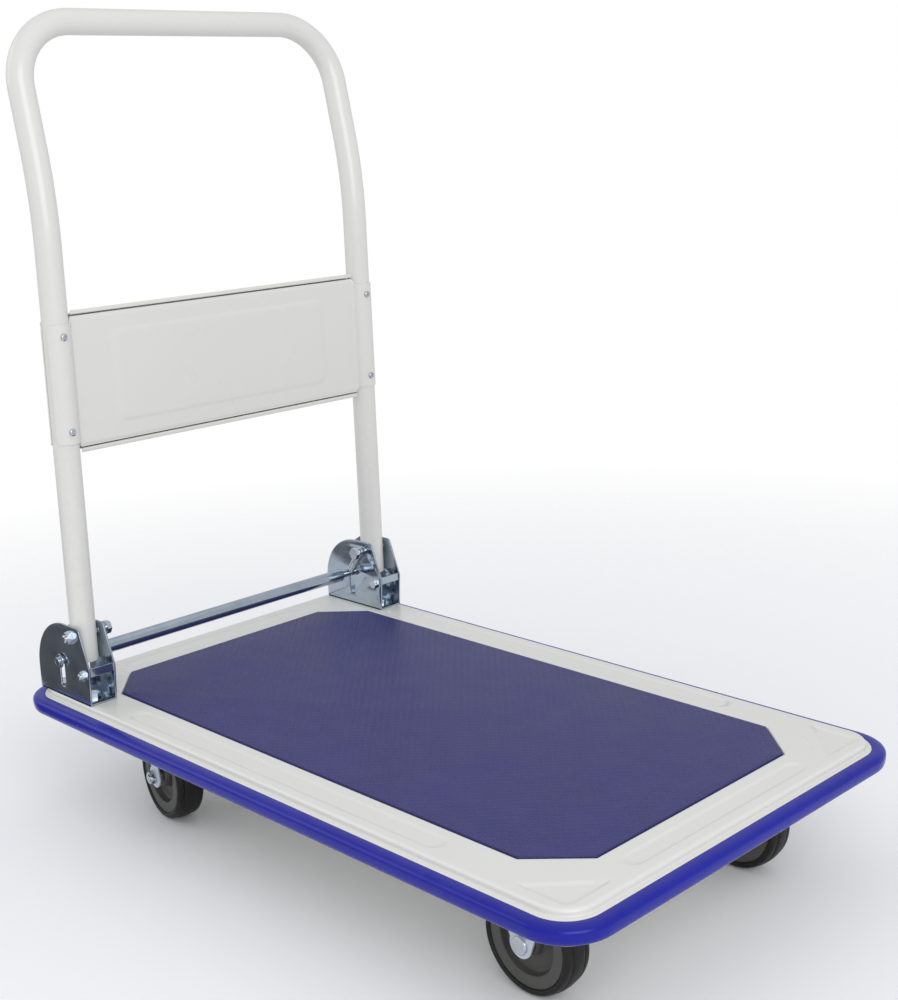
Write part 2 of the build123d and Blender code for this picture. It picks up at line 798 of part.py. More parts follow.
# ================================================================ wheels, about their own centre
rim_radius = wheel_diameter / 2 - tread_thickness
bush_outer = axle_diameter / 2 + running_clearance + bush_wall
bush_half = wheel_width / 2 + fork_gap - 0.2


def turned(face):
    """Revolve a face drawn as (radius, width) about the wheel's axis, which is Y."""
    return revolve(Plane.XY * face, Axis.Y, 360)


def tyre():
    half = wheel_width / 2
    outer = wheel_diameter / 2
    crown = outer - 1.2
    face = make_face([
        Line((rim_radius, -half + 1.5), (rim_radius, half - 1.5)),
        Line((rim_radius, half - 1.5), (rim_radius + 1.5, half)),
        Line((rim_radius + 1.5, half), (outer - 5, half)),
        ThreePointArc((outer - 5, half), (outer - 2.1, half - 1.5), (crown, half - 5)),
        ThreePointArc((crown, half - 5), (outer, 0), (crown, 5 - half)),
        ThreePointArc((crown, 5 - half), (outer - 2.1, 1.5 - half), (outer - 5, -half)),
        Line((outer - 5, -half), (rim_radius + 1.5, -half)),
        Line((rim_radius + 1.5, -half), (rim_radius, -half + 1.5)),
    ])
    for side in (1, -1):
        face -= Pos(outer - 0.6, side * (half - 7.5)) * Rectangle(2.4, 1.2)
    return turned(face)


def hub():
    """Moulded wheel centre: rim ring, recessed web and boss."""
    half = rim_width / 2
    web = half - rim_recess
    inner = rim_radius - rim_ring
    boss = hub_diameter / 2
    face = make_face(Polyline(
        (bush_outer, -half), (boss, -half), (boss + 1, -web), (inner - 1, -web), (inner, -half),
        (rim_radius, -half), (rim_radius, half), (inner, half), (inner - 1, web),
        (boss + 1, web), (boss, half), (bush_outer, half), close=True))
    return turned(face)


def wheel_bush():
    ring = Pos((bush_outer + axle_diameter / 2 + running_clearance) / 2, 0) * Rectangle(
        bush_wall, 2 * bush_half)
    return turned(ring)


def axle_bolt():
    """Axle bolt along +Y through both legs, head on the -Y side."""
    inner = wheel_width / 2 + fork_gap
    grip = 2 * (inner + fork_sheet)
    head = extrude(Circle(axle_diameter * 1.05), -2.6)
    head = fillet(head.edges().group_by(Axis.Z)[0], 1.2)
    bolt = head + extrude(Circle(axle_diameter / 2), grip + nut_height(axle_diameter) + 1)
    return along_y(bolt, 0, -inner - fork_sheet, 0)


def axle_nut():
    seat = wheel_width / 2 + fork_gap + fork_sheet
    return along_y(hex_nut(axle_diameter), 0, seat, 0)


def front_axle_place(side):
    """The head of each axle bolt faces away from the cart's middle."""
    turn = Rot(0, 0, 180) if side > 0 else Rot(0, 0, 0)
    return Pos(front_caster_x, side * caster_y, axle_z) * turn


def rear_axle_place(side_name):
    turn = Rot(0, 0, 180) if SIDES[side_name] < 0 else Rot(0, 0, 0)
    return swivel_place(side_name) * Pos(caster_trail, 0, axle_z) * turn


def main():
    os.makedirs("parts", exist_ok=True)
    write("deck_pan", deck_pan())
    write("deck_mat", deck_mat())
    write("edge_bumper", edge_bumper())
    write("front_cross_member", bolted_member(front_caster_x))
    write("middle_cross_member", cross_member(middle_member_x))
    write("rear_cross_member", bolted_member(rear_caster_x))
    write("bracket_bolts", base_bolts())
    write("bracket_nuts", base_nuts())
    write("bracket_backing_plates", backing_plates())
    write("pivot_bolts", [pivot_bolt(s) for s in SIDES.values()])
    write("stop_bolts", [stop_bolt(s) for s in SIDES.values()])
    write("pivot_nuts", [on_outer_cheek(s, hex_nut(pivot_bolt_diameter), pivot_x, pivot_z)
                         for s in SIDES.values()])
    write("stop_nuts", [on_outer_cheek(s, hex_nut(stop_bolt_diameter), stop_bolt_x,
                                       deck_top + stop_bolt_height) for s in SIDES.values()])
    write("handle_tube", handle_tube())
    write("panel_front", panel_front())
    write("panel_back", panel_back())
    write("panel_screws", panel_screws())
    write("lock_rod", lock_rod())
    write("foot_sleeve", foot_sleeve())
    write("rod_clips", rod_clips())
    write("pivot_bushes", [pivot_bush(s) for s in SIDES.values()])
    write("kingpins", [kingpin(s) for s in SIDES.values()])
    write("front_axle_bolts", [front_axle_place(s) * axle_bolt() for s in SIDES.values()])
    write("front_axle_nuts", [front_axle_place(s) * axle_nut() for s in SIDES.values()])
    write("caster_bolts", caster_bolts())
    write("caster_nuts", caster_nuts())
    for name, side in SIDES.items():
        write(name + "_hinge_bracket", hinge_bracket(side))
        write(name + "_lock_spring", lock_spring(side))
        write(name + "_front_fork", front_fork(side))
        write(name + "_rear_plate", rear_plate(side))
        write(name + "_rear_fork", rear_fork(name))
        write(name + "_race_balls", race_balls(name))
        write(name + "_rear_axle_bolt", rear_axle_place(name) * axle_bolt())
        write(name + "_rear_axle_nut", rear_axle_place(name) * axle_nut())
        for end, place in (("front", front_axle_place(side)), ("rear", rear_axle_place(name))):
            write(name + "_" + end + "_tyre", place * tyre())
            write(name + "_" + end + "_hub", place * hub())
            write(name + "_" + end + "_bush", place * wheel_bush())


main()
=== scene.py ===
"""Looks of a folding platform cart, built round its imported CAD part."""

from __future__ import annotations

import json
import logging
import math
from dataclasses import dataclass
from enum import Enum
from functools import lru_cache
from typing import Callable, Sequence

import bmesh
import bpy
from mathutils import Matrix, Vector

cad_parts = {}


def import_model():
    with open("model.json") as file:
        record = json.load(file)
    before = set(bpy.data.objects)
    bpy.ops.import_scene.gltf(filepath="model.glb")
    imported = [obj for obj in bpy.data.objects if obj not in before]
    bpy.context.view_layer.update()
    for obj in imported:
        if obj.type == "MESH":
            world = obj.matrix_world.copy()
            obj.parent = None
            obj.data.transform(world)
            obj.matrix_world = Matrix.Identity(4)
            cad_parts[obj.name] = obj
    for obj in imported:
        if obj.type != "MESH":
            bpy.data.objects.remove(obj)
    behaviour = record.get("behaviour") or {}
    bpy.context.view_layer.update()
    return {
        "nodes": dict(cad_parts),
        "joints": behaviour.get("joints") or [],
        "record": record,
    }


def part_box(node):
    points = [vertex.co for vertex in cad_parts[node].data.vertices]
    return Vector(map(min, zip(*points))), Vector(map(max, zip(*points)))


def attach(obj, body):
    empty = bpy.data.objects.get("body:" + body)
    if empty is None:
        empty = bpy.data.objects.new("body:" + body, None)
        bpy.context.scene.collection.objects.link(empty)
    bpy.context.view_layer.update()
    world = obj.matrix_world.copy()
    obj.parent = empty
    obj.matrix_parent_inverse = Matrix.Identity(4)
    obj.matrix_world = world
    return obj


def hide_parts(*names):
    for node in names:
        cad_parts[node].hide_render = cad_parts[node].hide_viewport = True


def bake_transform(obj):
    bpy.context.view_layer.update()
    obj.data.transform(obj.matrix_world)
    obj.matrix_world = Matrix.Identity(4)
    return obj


LOG = logging.getLogger("platform_cart")
MM = 0.001
SIDES: dict[str, int] = {"left": 1, "right": -1}
Point2 = tuple[float, float]
Ring = list[Vector]


def smoothstep(value: float) -> float:
    """Ease a value from 0 to 1, clamped at both ends."""
    t = min(1.0, max(0.0, value))
    return t * t * (3.0 - 2.0 * t)


@lru_cache(maxsize=None)
def box_of(node: str) -> tuple[Vector, Vector]:
    """Lowest and highest corner of a CAD node at rest."""
    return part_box(node)


def centre_of(node: str) -> Vector:
    """Middle of a CAD node's box at rest."""
    low, high = box_of(node)
    return (low + high) / 2.0


# ------------------------------------------------------------------ meshes
class MeshShop:
    """Turns rings, profiles and outlines into finished mesh objects."""

    @staticmethod
    def build(name: str, verts: Sequence[Vector], faces: Sequence[Sequence[int]],
              sharp: float = 38.0) -> bpy.types.Object:
        """Make a mesh object with smooth shading that breaks at sharp edges.

        Args:
            name: Name of the piece.
            verts: Corner points in metres.
            faces: Corner numbers of each face.
            sharp: Edges sharper than this many degrees stay crisp.

        Returns:
            The new object, linked to the scene.
        """
        mesh = bpy.data.meshes.new(name)
        mesh.from_pydata([tuple(v) for v in verts], [], [tuple(f) for f in faces])
        mesh.validate()
        piece = bpy.data.objects.new(name, mesh)
        bpy.context.scene.collection.objects.link(piece)
        MeshShop.face_out(mesh)
        MeshShop.shade(mesh, sharp)
        return piece

    @staticmethod
    def face_out(mesh: bpy.types.Mesh) -> None:
        """Weld coincident points and turn all faces outwards."""
        work = bmesh.new()
        work.from_mesh(mesh)
        bmesh.ops.remove_doubles(work, verts=work.verts, dist=1e-6)
        bmesh.ops.recalc_face_normals(work, faces=work.faces)
        work.to_mesh(mesh)
        work.free()

    @staticmethod
    def shade(mesh: bpy.types.Mesh, sharp: float) -> None:
        """Smooth a mesh's shading apart from edges sharper than an angle in degrees."""
        mesh.polygons.foreach_set("use_smooth", [True] * len(mesh.polygons))
        mesh.set_sharp_from_angle(angle=math.radians(sharp))
        mesh.update()

    @staticmethod
    def skin(rings: Sequence[Ring], loop: bool = True, tube: bool = False,
             first_cap: bool = False, last_cap: bool = False) -> tuple[Ring, list[list[int]]]:
        """Join neighbouring rings with quads.

        Args:
            rings: Rings with the same number of points.
            loop: Whether each ring closes on itself.
            tube: Whether the last ring joins the first.
            first_cap: Whether to fill the first ring.
            last_cap: Whether to fill the last ring.

        Returns:
            The points and the faces.
        """
        count = len(rings[0])
        verts = [p for ring in rings for p in ring]
        faces: list[list[int]] = []
        rows = len(rings) if tube else len(rings) - 1
        columns = count if loop else count - 1
        for i in range(rows):
            a, b = i * count, ((i + 1) % len(rings)) * count
            for j in range(columns):
                k = (j + 1) % count
                faces.append([a + j, a + k, b + k, b + j])
        if first_cap:
            faces.append(list(range(count)))
        if last_cap:
            faces.append(list(range((len(rings) - 1) * count, len(rings) * count)))
        return verts, faces

    @staticmethod
    def turned(name: str, profile: Sequence[Point2], place: Matrix,
               steps: int = 72) -> bpy.types.Object:
        """Turn a profile of (radius, distance) about the place's Y axis.

        Args:
            name: Name of the piece.
            profile: Radius and distance along the axis, in metres.
            place: Where the axis lies.
            steps: Faces round the axis.

        Returns:
            The turned object.
        """
        rings = []
        for i in range(steps):
            a = 2.0 * math.pi * i / steps
            rings.append([place @ Vector((r * math.cos(a), y, r * math.sin(a)))
                          for r, y in profile])
        verts, faces = MeshShop.skin(rings, tube=True)
        return MeshShop.build(name, verts, faces)

    @staticmethod
    def frames(path: Sequence[Vector]) -> list[tuple[Vector, Vector, Vector]]:
        """Directions along a path and two steady directions across it, for each point."""
        found = []
        across = None
        for i, point in enumerate(path):
            ahead = path[min(i + 1, len(path) - 1)] - path[max(i - 1, 0)]
            ahead.normalize()
            if across is None:
                guide = Vector((0, 0, 1)) if abs(ahead.z) < 0.9 else Vector((1, 0, 0))
                across = guide.cross(ahead).normalized()
            across = (across - ahead * across.dot(ahead)).normalized()
            found.append((ahead, across, ahead.cross(across)))
        return found

    @staticmethod
    def drawn_tube(name: str, path: Sequence[Vector], outer: float, inner: float = 0.0,
                   steps: int = 32) -> bpy.types.Object:
        """Draw a round tube or wire along a path.

        Args:
            name: Name of the piece.
            path: Points of the centre line.
            outer: Outside radius.
            inner: Bore radius, or 0 for solid wire.
            steps: Faces round the tube.

        Returns:
            The tube object.
        """
        frames = MeshShop.frames(path)

        def ring(i: int, radius: float) -> Ring:
            """One ring of the tube."""
            ahead, across, up = frames[i]
            return [path[i] + radius * (math.cos(a) * across + math.sin(a) * up)
                    for a in (2.0 * math.pi * k / steps for k in range(steps))]

        rings = [ring(i, outer) for i in range(len(path))]
        if inner > 0:
            rings += [ring(i, inner) for i in reversed(range(len(path)))]
            verts, faces = MeshShop.skin(rings, tube=True)
        else:
            verts, faces = MeshShop.skin(rings, first_cap=True, last_cap=True)
        return MeshShop.build(name, verts, faces)

    @staticmethod
    def cut_plate(name: str, outline: Sequence[Point2], holes: Sequence[Sequence[Point2]],
                  thickness: float, edge: float, place: Matrix) -> bpy.types.Object:
        """Cut a flat plate with holes and softened edges, centred on its own plane.

        Args:
            name: Name of the piece.
            outline: Outside line in the plane's own x and y.
            holes: Lines of the holes.
            thickness: Plate thickness.
            edge: Softening of the edges.
            place: Where the plane lies.

        Returns:
            The plate as a mesh object.
        """
        data = bpy.data.curves.new(name + "_line", "CURVE")
        data.dimensions = "2D"
        data.fill_mode = "BOTH"
        data.extrude = thickness / 2.0 - edge
        data.bevel_depth = edge
        data.bevel_resolution = 2
        data.offset = -edge
        for line in [outline, *holes]:
            spline = data.splines.new("POLY")
            spline.points.add(len(line) - 1)
            for point, (x, y) in zip(spline.points, line):
                point.co = (x, y, 0.0, 1.0)
            spline.use_cyclic_u = True
        holder = bpy.data.objects.new(name + "_line", data)
        bpy.context.scene.collection.objects.link(holder)
        bpy.context.view_layer.update()
        shape = holder.evaluated_get(bpy.context.evaluated_depsgraph_get())
        mesh = bpy.data.meshes.new_from_object(shape)
        bpy.data.objects.remove(holder)
        mesh.transform(place)
        mesh.name = name
        piece = bpy.data.objects.new(name, mesh)
        bpy.context.scene.collection.objects.link(piece)
        MeshShop.face_out(mesh)
        MeshShop.shade(mesh, 32.0)
        return piece

    @staticmethod
    def joined(name: str, pieces: Sequence[bpy.types.Object]) -> bpy.types.Object:
        """Join several pieces into one object."""
        work = bmesh.new()
        for piece in pieces:
            piece.data.transform(piece.matrix_world)
            work.from_mesh(piece.data)
        mesh = bpy.data.meshes.new(name)
        work.to_mesh(mesh)
        work.free()
        for piece in pieces:
            bpy.data.objects.remove(piece)
        whole = bpy.data.objects.new(name, mesh)
        bpy.context.scene.collection.objects.link(whole)
        MeshShop.shade(mesh, 34.0)
        return whole

    @staticmethod
    def thickened(piece: bpy.types.Object, thickness: float) -> bpy.types.Object:
        """Give an open sheet its thickness, on the inner side of its faces."""
        solid = piece.modifiers.new("sheet", "SOLIDIFY")
        solid.thickness = thickness
        solid.offset = -1.0
        solid.use_even_offset = True
        bpy.context.view_layer.update()
        shape = piece.evaluated_get(bpy.context.evaluated_depsgraph_get())
        mesh = bpy.data.meshes.new_from_object(shape)
        piece.modifiers.clear()
        piece.data = mesh
        MeshShop.shade(mesh, 38.0)
        return piece


class Outline:
    """Closed lines in plan, with matching points from one line to the next."""

    COUNTS = (90, 20, 180, 20)

    @staticmethod
    def _walk(corners: Sequence[Callable[[float], Point2]]) -> list[Point2]:
        """Sample side, corner, side, corner and so on, all round."""
        points = []
        for i, part in enumerate(corners):
            count = Outline.COUNTS[i % 4]
            points += [part(k / count) for k in range(count)]
        return points

    @staticmethod
    def _side(a: Point2, b: Point2) -> Callable[[float], Point2]:
        """Straight run between two points."""
        return lambda t: (a[0] + (b[0] - a[0]) * t, a[1] + (b[1] - a[1]) * t)

    @staticmethod
    def rounded(length: float, width: float, radius: float) -> list[Point2]:
        """Rectangle with round corners, from the front side anticlockwise."""
        x, y, r = length / 2.0, width / 2.0, radius

        def arc(cx: float, cy: float, start: float) -> Callable[[float], Point2]:
            """Quarter turn about a corner's centre."""
            return lambda t: (cx + r * math.cos(math.radians(start + 90.0 * t)),
                              cy + r * math.sin(math.radians(start + 90.0 * t)))

        return Outline._walk([
            Outline._side((x, r - y), (x, y - r)), arc(x - r, y - r, 0),
            Outline._side((x - r, y), (r - x, y)), arc(r - x, y - r, 90),
            Outline._side((-x, y - r), (-x, r - y)), arc(r - x, r - y, 180),
            Outline._side((r - x, -y), (x - r, -y)), arc(x - r, r - y, 270)])

    @staticmethod
    def clipped(length: float, width: float, cut_x: float, cut_y: float,
                grow: float = 0.0) -> list[Point2]:
        """Rectangle with cut corners, from the front side anticlockwise."""
        x, y = length / 2.0 + grow, width / 2.0 + grow
        cx, cy = cut_x + 0.6 * grow, cut_y + 0.6 * grow
        corners = [(x, cy - y), (x, y - cy), (x - cx, y), (cx - x, y),
                   (-x, y - cy), (-x, cy - y), (cx - x, -y), (x - cx, -y)]

        return Outline._walk([Outline._side(corners[i], corners[(i + 1) % 8]) for i in range(8)])

    @staticmethod
    def lifted(line: Sequence[Point2], z: float) -> Ring:
        """The line as points at one height."""
        return [Vector((x, y, z)) for x, y in line]


def circle(x: float, y: float, radius: float, steps: int = 32) -> list[Point2]:
    """Points of a circle."""
    return [(x + radius * math.cos(2 * math.pi * i / steps),
             y + radius * math.sin(2 * math.pi * i / steps)) for i in range(steps)]


def filleted(points: Sequence[Vector], radii: Sequence[float], step: float) -> Ring:
    """Round a polyline's inner corners.

    Args:
        points: Corners of the line.
        radii: Radius at each inner corner.
        step: Distance between points on the arcs.

    Returns:
        Points along the rounded line.
    """
    line: Ring = [points[0].copy()]
    for i, radius in enumerate(radii, start=1):
        back = (points[i - 1] - points[i]).normalized()
        ahead = (points[i + 1] - points[i]).normalized()
        turn = math.pi - back.angle(ahead)
        reach = radius * math.tan(turn / 2.0)
        middle = (back + ahead).normalized()
        centre = points[i] + middle * math.hypot(radius, reach)
        first = points[i] + back * reach - centre
        last = points[i] + ahead * reach - centre
        steps = max(6, int(radius * turn / step))
        for k in range(steps + 1):
            t = k / steps
            share = math.sin((1 - t) * turn) / math.sin(turn), math.sin(t * turn) / math.sin(turn)
            line.append(centre + first * share[0] + last * share[1])
    line.append(points[-1].copy())
    return line


def rounded_polygon(corners: Sequence[Point2], radii: Sequence[float]) -> list[Point2]:
    """Closed plan line with a radius at each corner."""
    line: list[Point2] = []
    count = len(corners)
    for i, radius in enumerate(radii):
        here = Vector(corners[i]).to_3d()
        before, after = Vector(corners[i - 1]).to_3d(), Vector(corners[(i + 1) % count]).to_3d()
        if radius <= 0:
            line.append((here.x, here.y))
            continue
        arc = filleted([before, here, after], [radius], radius * 0.2)[1:-1]
        line += [(p.x, p.y) for p in arc]
    return line


# ------------------------------------------------------------------ shader effects
NUMBER_SOCKET = "NodeSocketFloat"


class Wiring:
    """Short ways to place and join shader nodes in one tree."""

    def __init__(self, tree: bpy.types.NodeTree) -> None:
        """Work in a tree."""
        self.tree = tree

    def node(self, kind: str, **settings: object) -> bpy.types.Node:
        """Place a node and give it settings and input values.

        Args:
            kind: Node type name.
            settings: Attributes, or in_NAME for the value of an input socket.

        Returns:
            The node.
        """
        made = self.tree.nodes.new(kind)
        for key, value in settings.items():
            if key.startswith("in_"):
                made.inputs[key[3:].replace("_", " ")].default_value = value
            else:
                setattr(made, key, value)
        return made

    def join(self, source: bpy.types.NodeSocket, target: bpy.types.NodeSocket) -> None:
        """Link an output to an input."""
        self.tree.links.new(source, target)

    def sum(self, operation: str, a: object, b: object = 0.0) -> bpy.types.NodeSocket:
        """Arithmetic on sockets or numbers; the result's socket."""
        made = self.node("ShaderNodeMath", operation=operation)
        for value, socket in ((a, made.inputs[0]), (b, made.inputs[1])):
            if isinstance(value, bpy.types.NodeSocket):
                self.join(value, socket)
            else:
                socket.default_value = value
        return made.outputs[0]

    def spread(self, value: bpy.types.NodeSocket, low: float, high: float,
               to_low: float = 0.0, to_high: float = 1.0) -> bpy.types.NodeSocket:
        """Map a range of a value to another range, clamped."""
        made = self.node("ShaderNodeMapRange")
        for socket, number in zip(list(made.inputs)[1:5], (low, high, to_low, to_high)):
            socket.default_value = number
        self.join(value, made.inputs[0])
        return made.outputs[0]

    def tint(self, mask: bpy.types.NodeSocket, a: object, b: object) -> bpy.types.NodeSocket:
        """Blend from colour a to colour b by a mask."""
        made = self.node("ShaderNodeMix", data_type="RGBA")
        self.join(mask, made.inputs[0])
        for value, socket in ((a, made.inputs[6]), (b, made.inputs[7])):
            if isinstance(value, bpy.types.NodeSocket):
                self.join(value, socket)
            else:
                socket.default_value = (*value, 1.0)
        return made.outputs[2]

    def place(self, scale: Sequence[float] = (1, 1, 1),
              turn: Sequence[float] = (0, 0, 0)) -> bpy.types.NodeSocket:
        """Object coordinates, scaled and turned."""
        where = self.node("ShaderNodeTexCoord")
        mapped = self.node("ShaderNodeMapping")
        mapped.inputs["Scale"].default_value = scale
        mapped.inputs["Rotation"].default_value = turn
        self.join(where.outputs["Object"], mapped.inputs["Vector"])
        return mapped.outputs["Vector"]


class Effects:
    """The shader node groups that the finishes share, each built once."""

    def __init__(self) -> None:
        """Build every group."""
        self.mottle = self._mottle()
        self.grain = self._grain()
        self.edge_wear = self._edge_wear()
        self.dust = self._dust()
        self.scuffs = self._scuffs()

    @staticmethod
    def _start(name: str, inputs: Sequence[tuple[str, float]],
               outputs: Sequence[str]) -> tuple[Wiring, object, object]:
        """Open a group with number inputs and the given outputs.

        Args:
            name: Name of the group.
            inputs: Name and usual value of each input.
            outputs: Name of each output.

        Returns:
            The wiring, the group's input node and its output node.
        """
        tree = bpy.data.node_groups.new(name, "ShaderNodeTree")
        for label, value in inputs:
            socket = tree.interface.new_socket(name=label, in_out="INPUT",
                                               socket_type=NUMBER_SOCKET)
            socket.default_value = value
        for label in outputs:
            tree.interface.new_socket(name=label, in_out="OUTPUT", socket_type=NUMBER_SOCKET)
        wires = Wiring(tree)
        return wires, wires.node("NodeGroupInput"), wires.node("NodeGroupOutput")

    def _mottle(self) -> bpy.types.NodeTree:
        """Slow drift from place to place, as in any coat or plating."""
        wires, given, out = self._start("mottle", [("Scale", 12.0), ("Amount", 1.0)],
                                        ["Mask"])
        noise = wires.node("ShaderNodeTexNoise", in_Detail=3.0, in_Roughness=0.55)
        wires.join(wires.place(), noise.inputs["Vector"])
        wires.join(given.outputs["Scale"], noise.inputs["Scale"])
        soft = wires.spread(noise.outputs["Fac"], 0.3, 0.7)
        wires.join(wires.sum("MULTIPLY", soft, given.outputs["Amount"]), out.inputs["Mask"])
        return wires.tree

    def _grain(self) -> bpy.types.NodeTree:
        """Fine pebbly surface: orange peel of paint, or the skin of moulded vinyl."""
        wires, given, out = self._start("grain", [("Scale", 900.0), ("Cells", 0.0)],
                                        ["Height"])
        where = wires.place()
        noise = wires.node("ShaderNodeTexNoise", in_Detail=2.0, in_Roughness=0.5)
        cells = wires.node("ShaderNodeTexVoronoi", feature="SMOOTH_F1")
        for made in (noise, cells):
            wires.join(where, made.inputs["Vector"])
            wires.join(given.outputs["Scale"], made.inputs["Scale"])
        share = wires.node("ShaderNodeMix", data_type="FLOAT")
        wires.join(given.outputs["Cells"], share.inputs[0])
        wires.join(noise.outputs["Fac"], share.inputs[2])
        wires.join(cells.outputs["Distance"], share.inputs[3])
        wires.join(share.outputs[0], out.inputs["Height"])
        return wires.tree

    def _edge_wear(self) -> bpy.types.NodeTree:
        """Rubbed edges, broken up by noise."""
        wires, given, out = self._start("edge_wear", [("Scale", 90.0), ("Amount", 0.5)],
                                        ["Mask"])
        shape = wires.node("ShaderNodeNewGeometry")
        noise = wires.node("ShaderNodeTexNoise", in_Detail=4.0)
        wires.join(wires.place(), noise.inputs["Vector"])
        wires.join(given.outputs["Scale"], noise.inputs["Scale"])
        edge = wires.spread(shape.outputs["Pointiness"], 0.52, 0.6)
        broken = wires.spread(noise.outputs["Fac"], 0.45, 0.62)
        worn = wires.sum("MULTIPLY", edge, broken)
        wires.join(wires.sum("MULTIPLY", worn, given.outputs["Amount"]), out.inputs["Mask"])
        return wires.tree

    def _dust(self) -> bpy.types.NodeTree:
        """Light dust that lies on faces that look up."""
        wires, given, out = self._start("dust", [("Scale", 30.0), ("Amount", 0.3)],
                                        ["Mask"])
        shape = wires.node("ShaderNodeNewGeometry")
        parts = wires.node("ShaderNodeSeparateXYZ")
        wires.join(shape.outputs["Normal"], parts.inputs[0])
        up = wires.spread(parts.outputs["Z"], 0.2, 1.0)
        noise = wires.node("ShaderNodeTexNoise", in_Detail=6.0, in_Roughness=0.7)
        wires.join(wires.place(), noise.inputs["Vector"])
        wires.join(given.outputs["Scale"], noise.inputs["Scale"])
        patch = wires.spread(noise.outputs["Fac"], 0.42, 0.75)
        lying = wires.sum("MULTIPLY", up, patch)
        wires.join(wires.sum("MULTIPLY", lying, given.outputs["Amount"]), out.inputs["Mask"])
        return wires.tree

    def _scuffs(self) -> bpy.types.NodeTree:
        """Fine directional rubbing and hairline scratches."""
        wires, given, out = self._start("scuffs", [("Scale", 60.0), ("Amount", 0.5)],
                                        ["Mask", "Height"])
        noise = wires.node("ShaderNodeTexNoise", in_Detail=5.0, in_Roughness=0.6)
        wires.join(wires.place(scale=(1.0, 14.0, 3.0), turn=(0.2, 0.1, 0.5)),
                   noise.inputs["Vector"])
        wires.join(given.outputs["Scale"], noise.inputs["Scale"])
        lines = wires.spread(noise.outputs["Fac"], 0.55, 0.72)
        mask = wires.sum("MULTIPLY", lines, given.outputs["Amount"])
        wires.join(mask, out.inputs["Mask"])
        wires.join(wires.sum("SUBTRACT", 0.5, mask), out.inputs["Height"])
        return wires.tree


# ------------------------------------------------------------------ finishes
@dataclass(frozen=True)
class Finish:
    """A surface finish: base colour, sheen and the share of each effect in it."""

    name: str
    slot: str
    colour: tuple[float, float, float]
    drift: tuple[float, float, float]
    rough: tuple[float, float] = (0.3, 0.4)
    metal: float = 0.0
    coat: float = 0.0
    specular: float = 0.5
    grain_scale: float = 900.0
    grain_cells: float = 0.0
    grain_depth: float = 0.02
    wear: float = 0.0
    wear_colour: tuple[float, float, float] = (0.5, 0.5, 0.5)
    dust: float = 0.0
    scuff: float = 0.2
    mottle_scale: float = 12.0

    def placed(self, wires: Wiring, group: bpy.types.NodeTree, **values: float) -> bpy.types.Node:
        """Place a shared effect with this finish's own values."""
        made = wires.node("ShaderNodeGroup", node_tree=group)
        for key, value in values.items():
            made.inputs[key].default_value = value
        return made

    def relief(self, wires: Wiring, effects: Effects) -> bpy.types.NodeSocket:
        """Height of the finish's own surface pattern."""
        grain = self.placed(wires, effects.grain, Scale=self.grain_scale, Cells=self.grain_cells)
        return grain.outputs["Height"]

    def material(self, effects: Effects) -> bpy.types.Material:
        """Build the material.

        Args:
            effects: The shared shader groups.

        Returns:
            The material.
        """
        made = bpy.data.materials.new(self.name)
        made.use_nodes = True
        wires = Wiring(made.node_tree)
        made.node_tree.nodes.clear()
        out = wires.node("ShaderNodeOutputMaterial")
        skin = wires.node("ShaderNodeBsdfPrincipled")
        skin.inputs["Metallic"].default_value = self.metal
        skin.inputs["Coat Weight"].default_value = self.coat
        skin.inputs["Coat Roughness"].default_value = 0.08
        skin.inputs["Specular IOR Level"].default_value = self.specular
        wires.join(skin.outputs[0], out.inputs[0])
        mottle = self.placed(wires, effects.mottle, Scale=self.mottle_scale)
        wear = self.placed(wires, effects.edge_wear, Amount=self.wear)
        dust = self.placed(wires, effects.dust, Amount=self.dust)
        scuffs = self.placed(wires, effects.scuffs, Amount=self.scuff)
        colour = wires.tint(mottle.outputs["Mask"], self.colour, self.drift)
        colour = wires.tint(wear.outputs["Mask"], colour, self.wear_colour)
        colour = wires.tint(dust.outputs["Mask"], colour, (0.42, 0.40, 0.37))
        wires.join(colour, skin.inputs["Base Color"])
        dull = wires.spread(mottle.outputs["Mask"], 0.0, 1.0, *self.rough)
        rubbed = wires.sum("MULTIPLY", scuffs.outputs["Mask"], 0.25)
        dusty = wires.sum("MULTIPLY", dust.outputs["Mask"], 0.4)
        total = wires.sum("ADD", wires.sum("ADD", dull, rubbed), dusty)
        wires.join(total, skin.inputs["Roughness"])
        bump = wires.node("ShaderNodeBump", in_Strength=1.0, in_Distance=self.grain_depth * MM)
        wires.join(self.relief(wires, effects), bump.inputs["Height"])
        wires.join(bump.outputs[0], skin.inputs["Normal"])
        return made


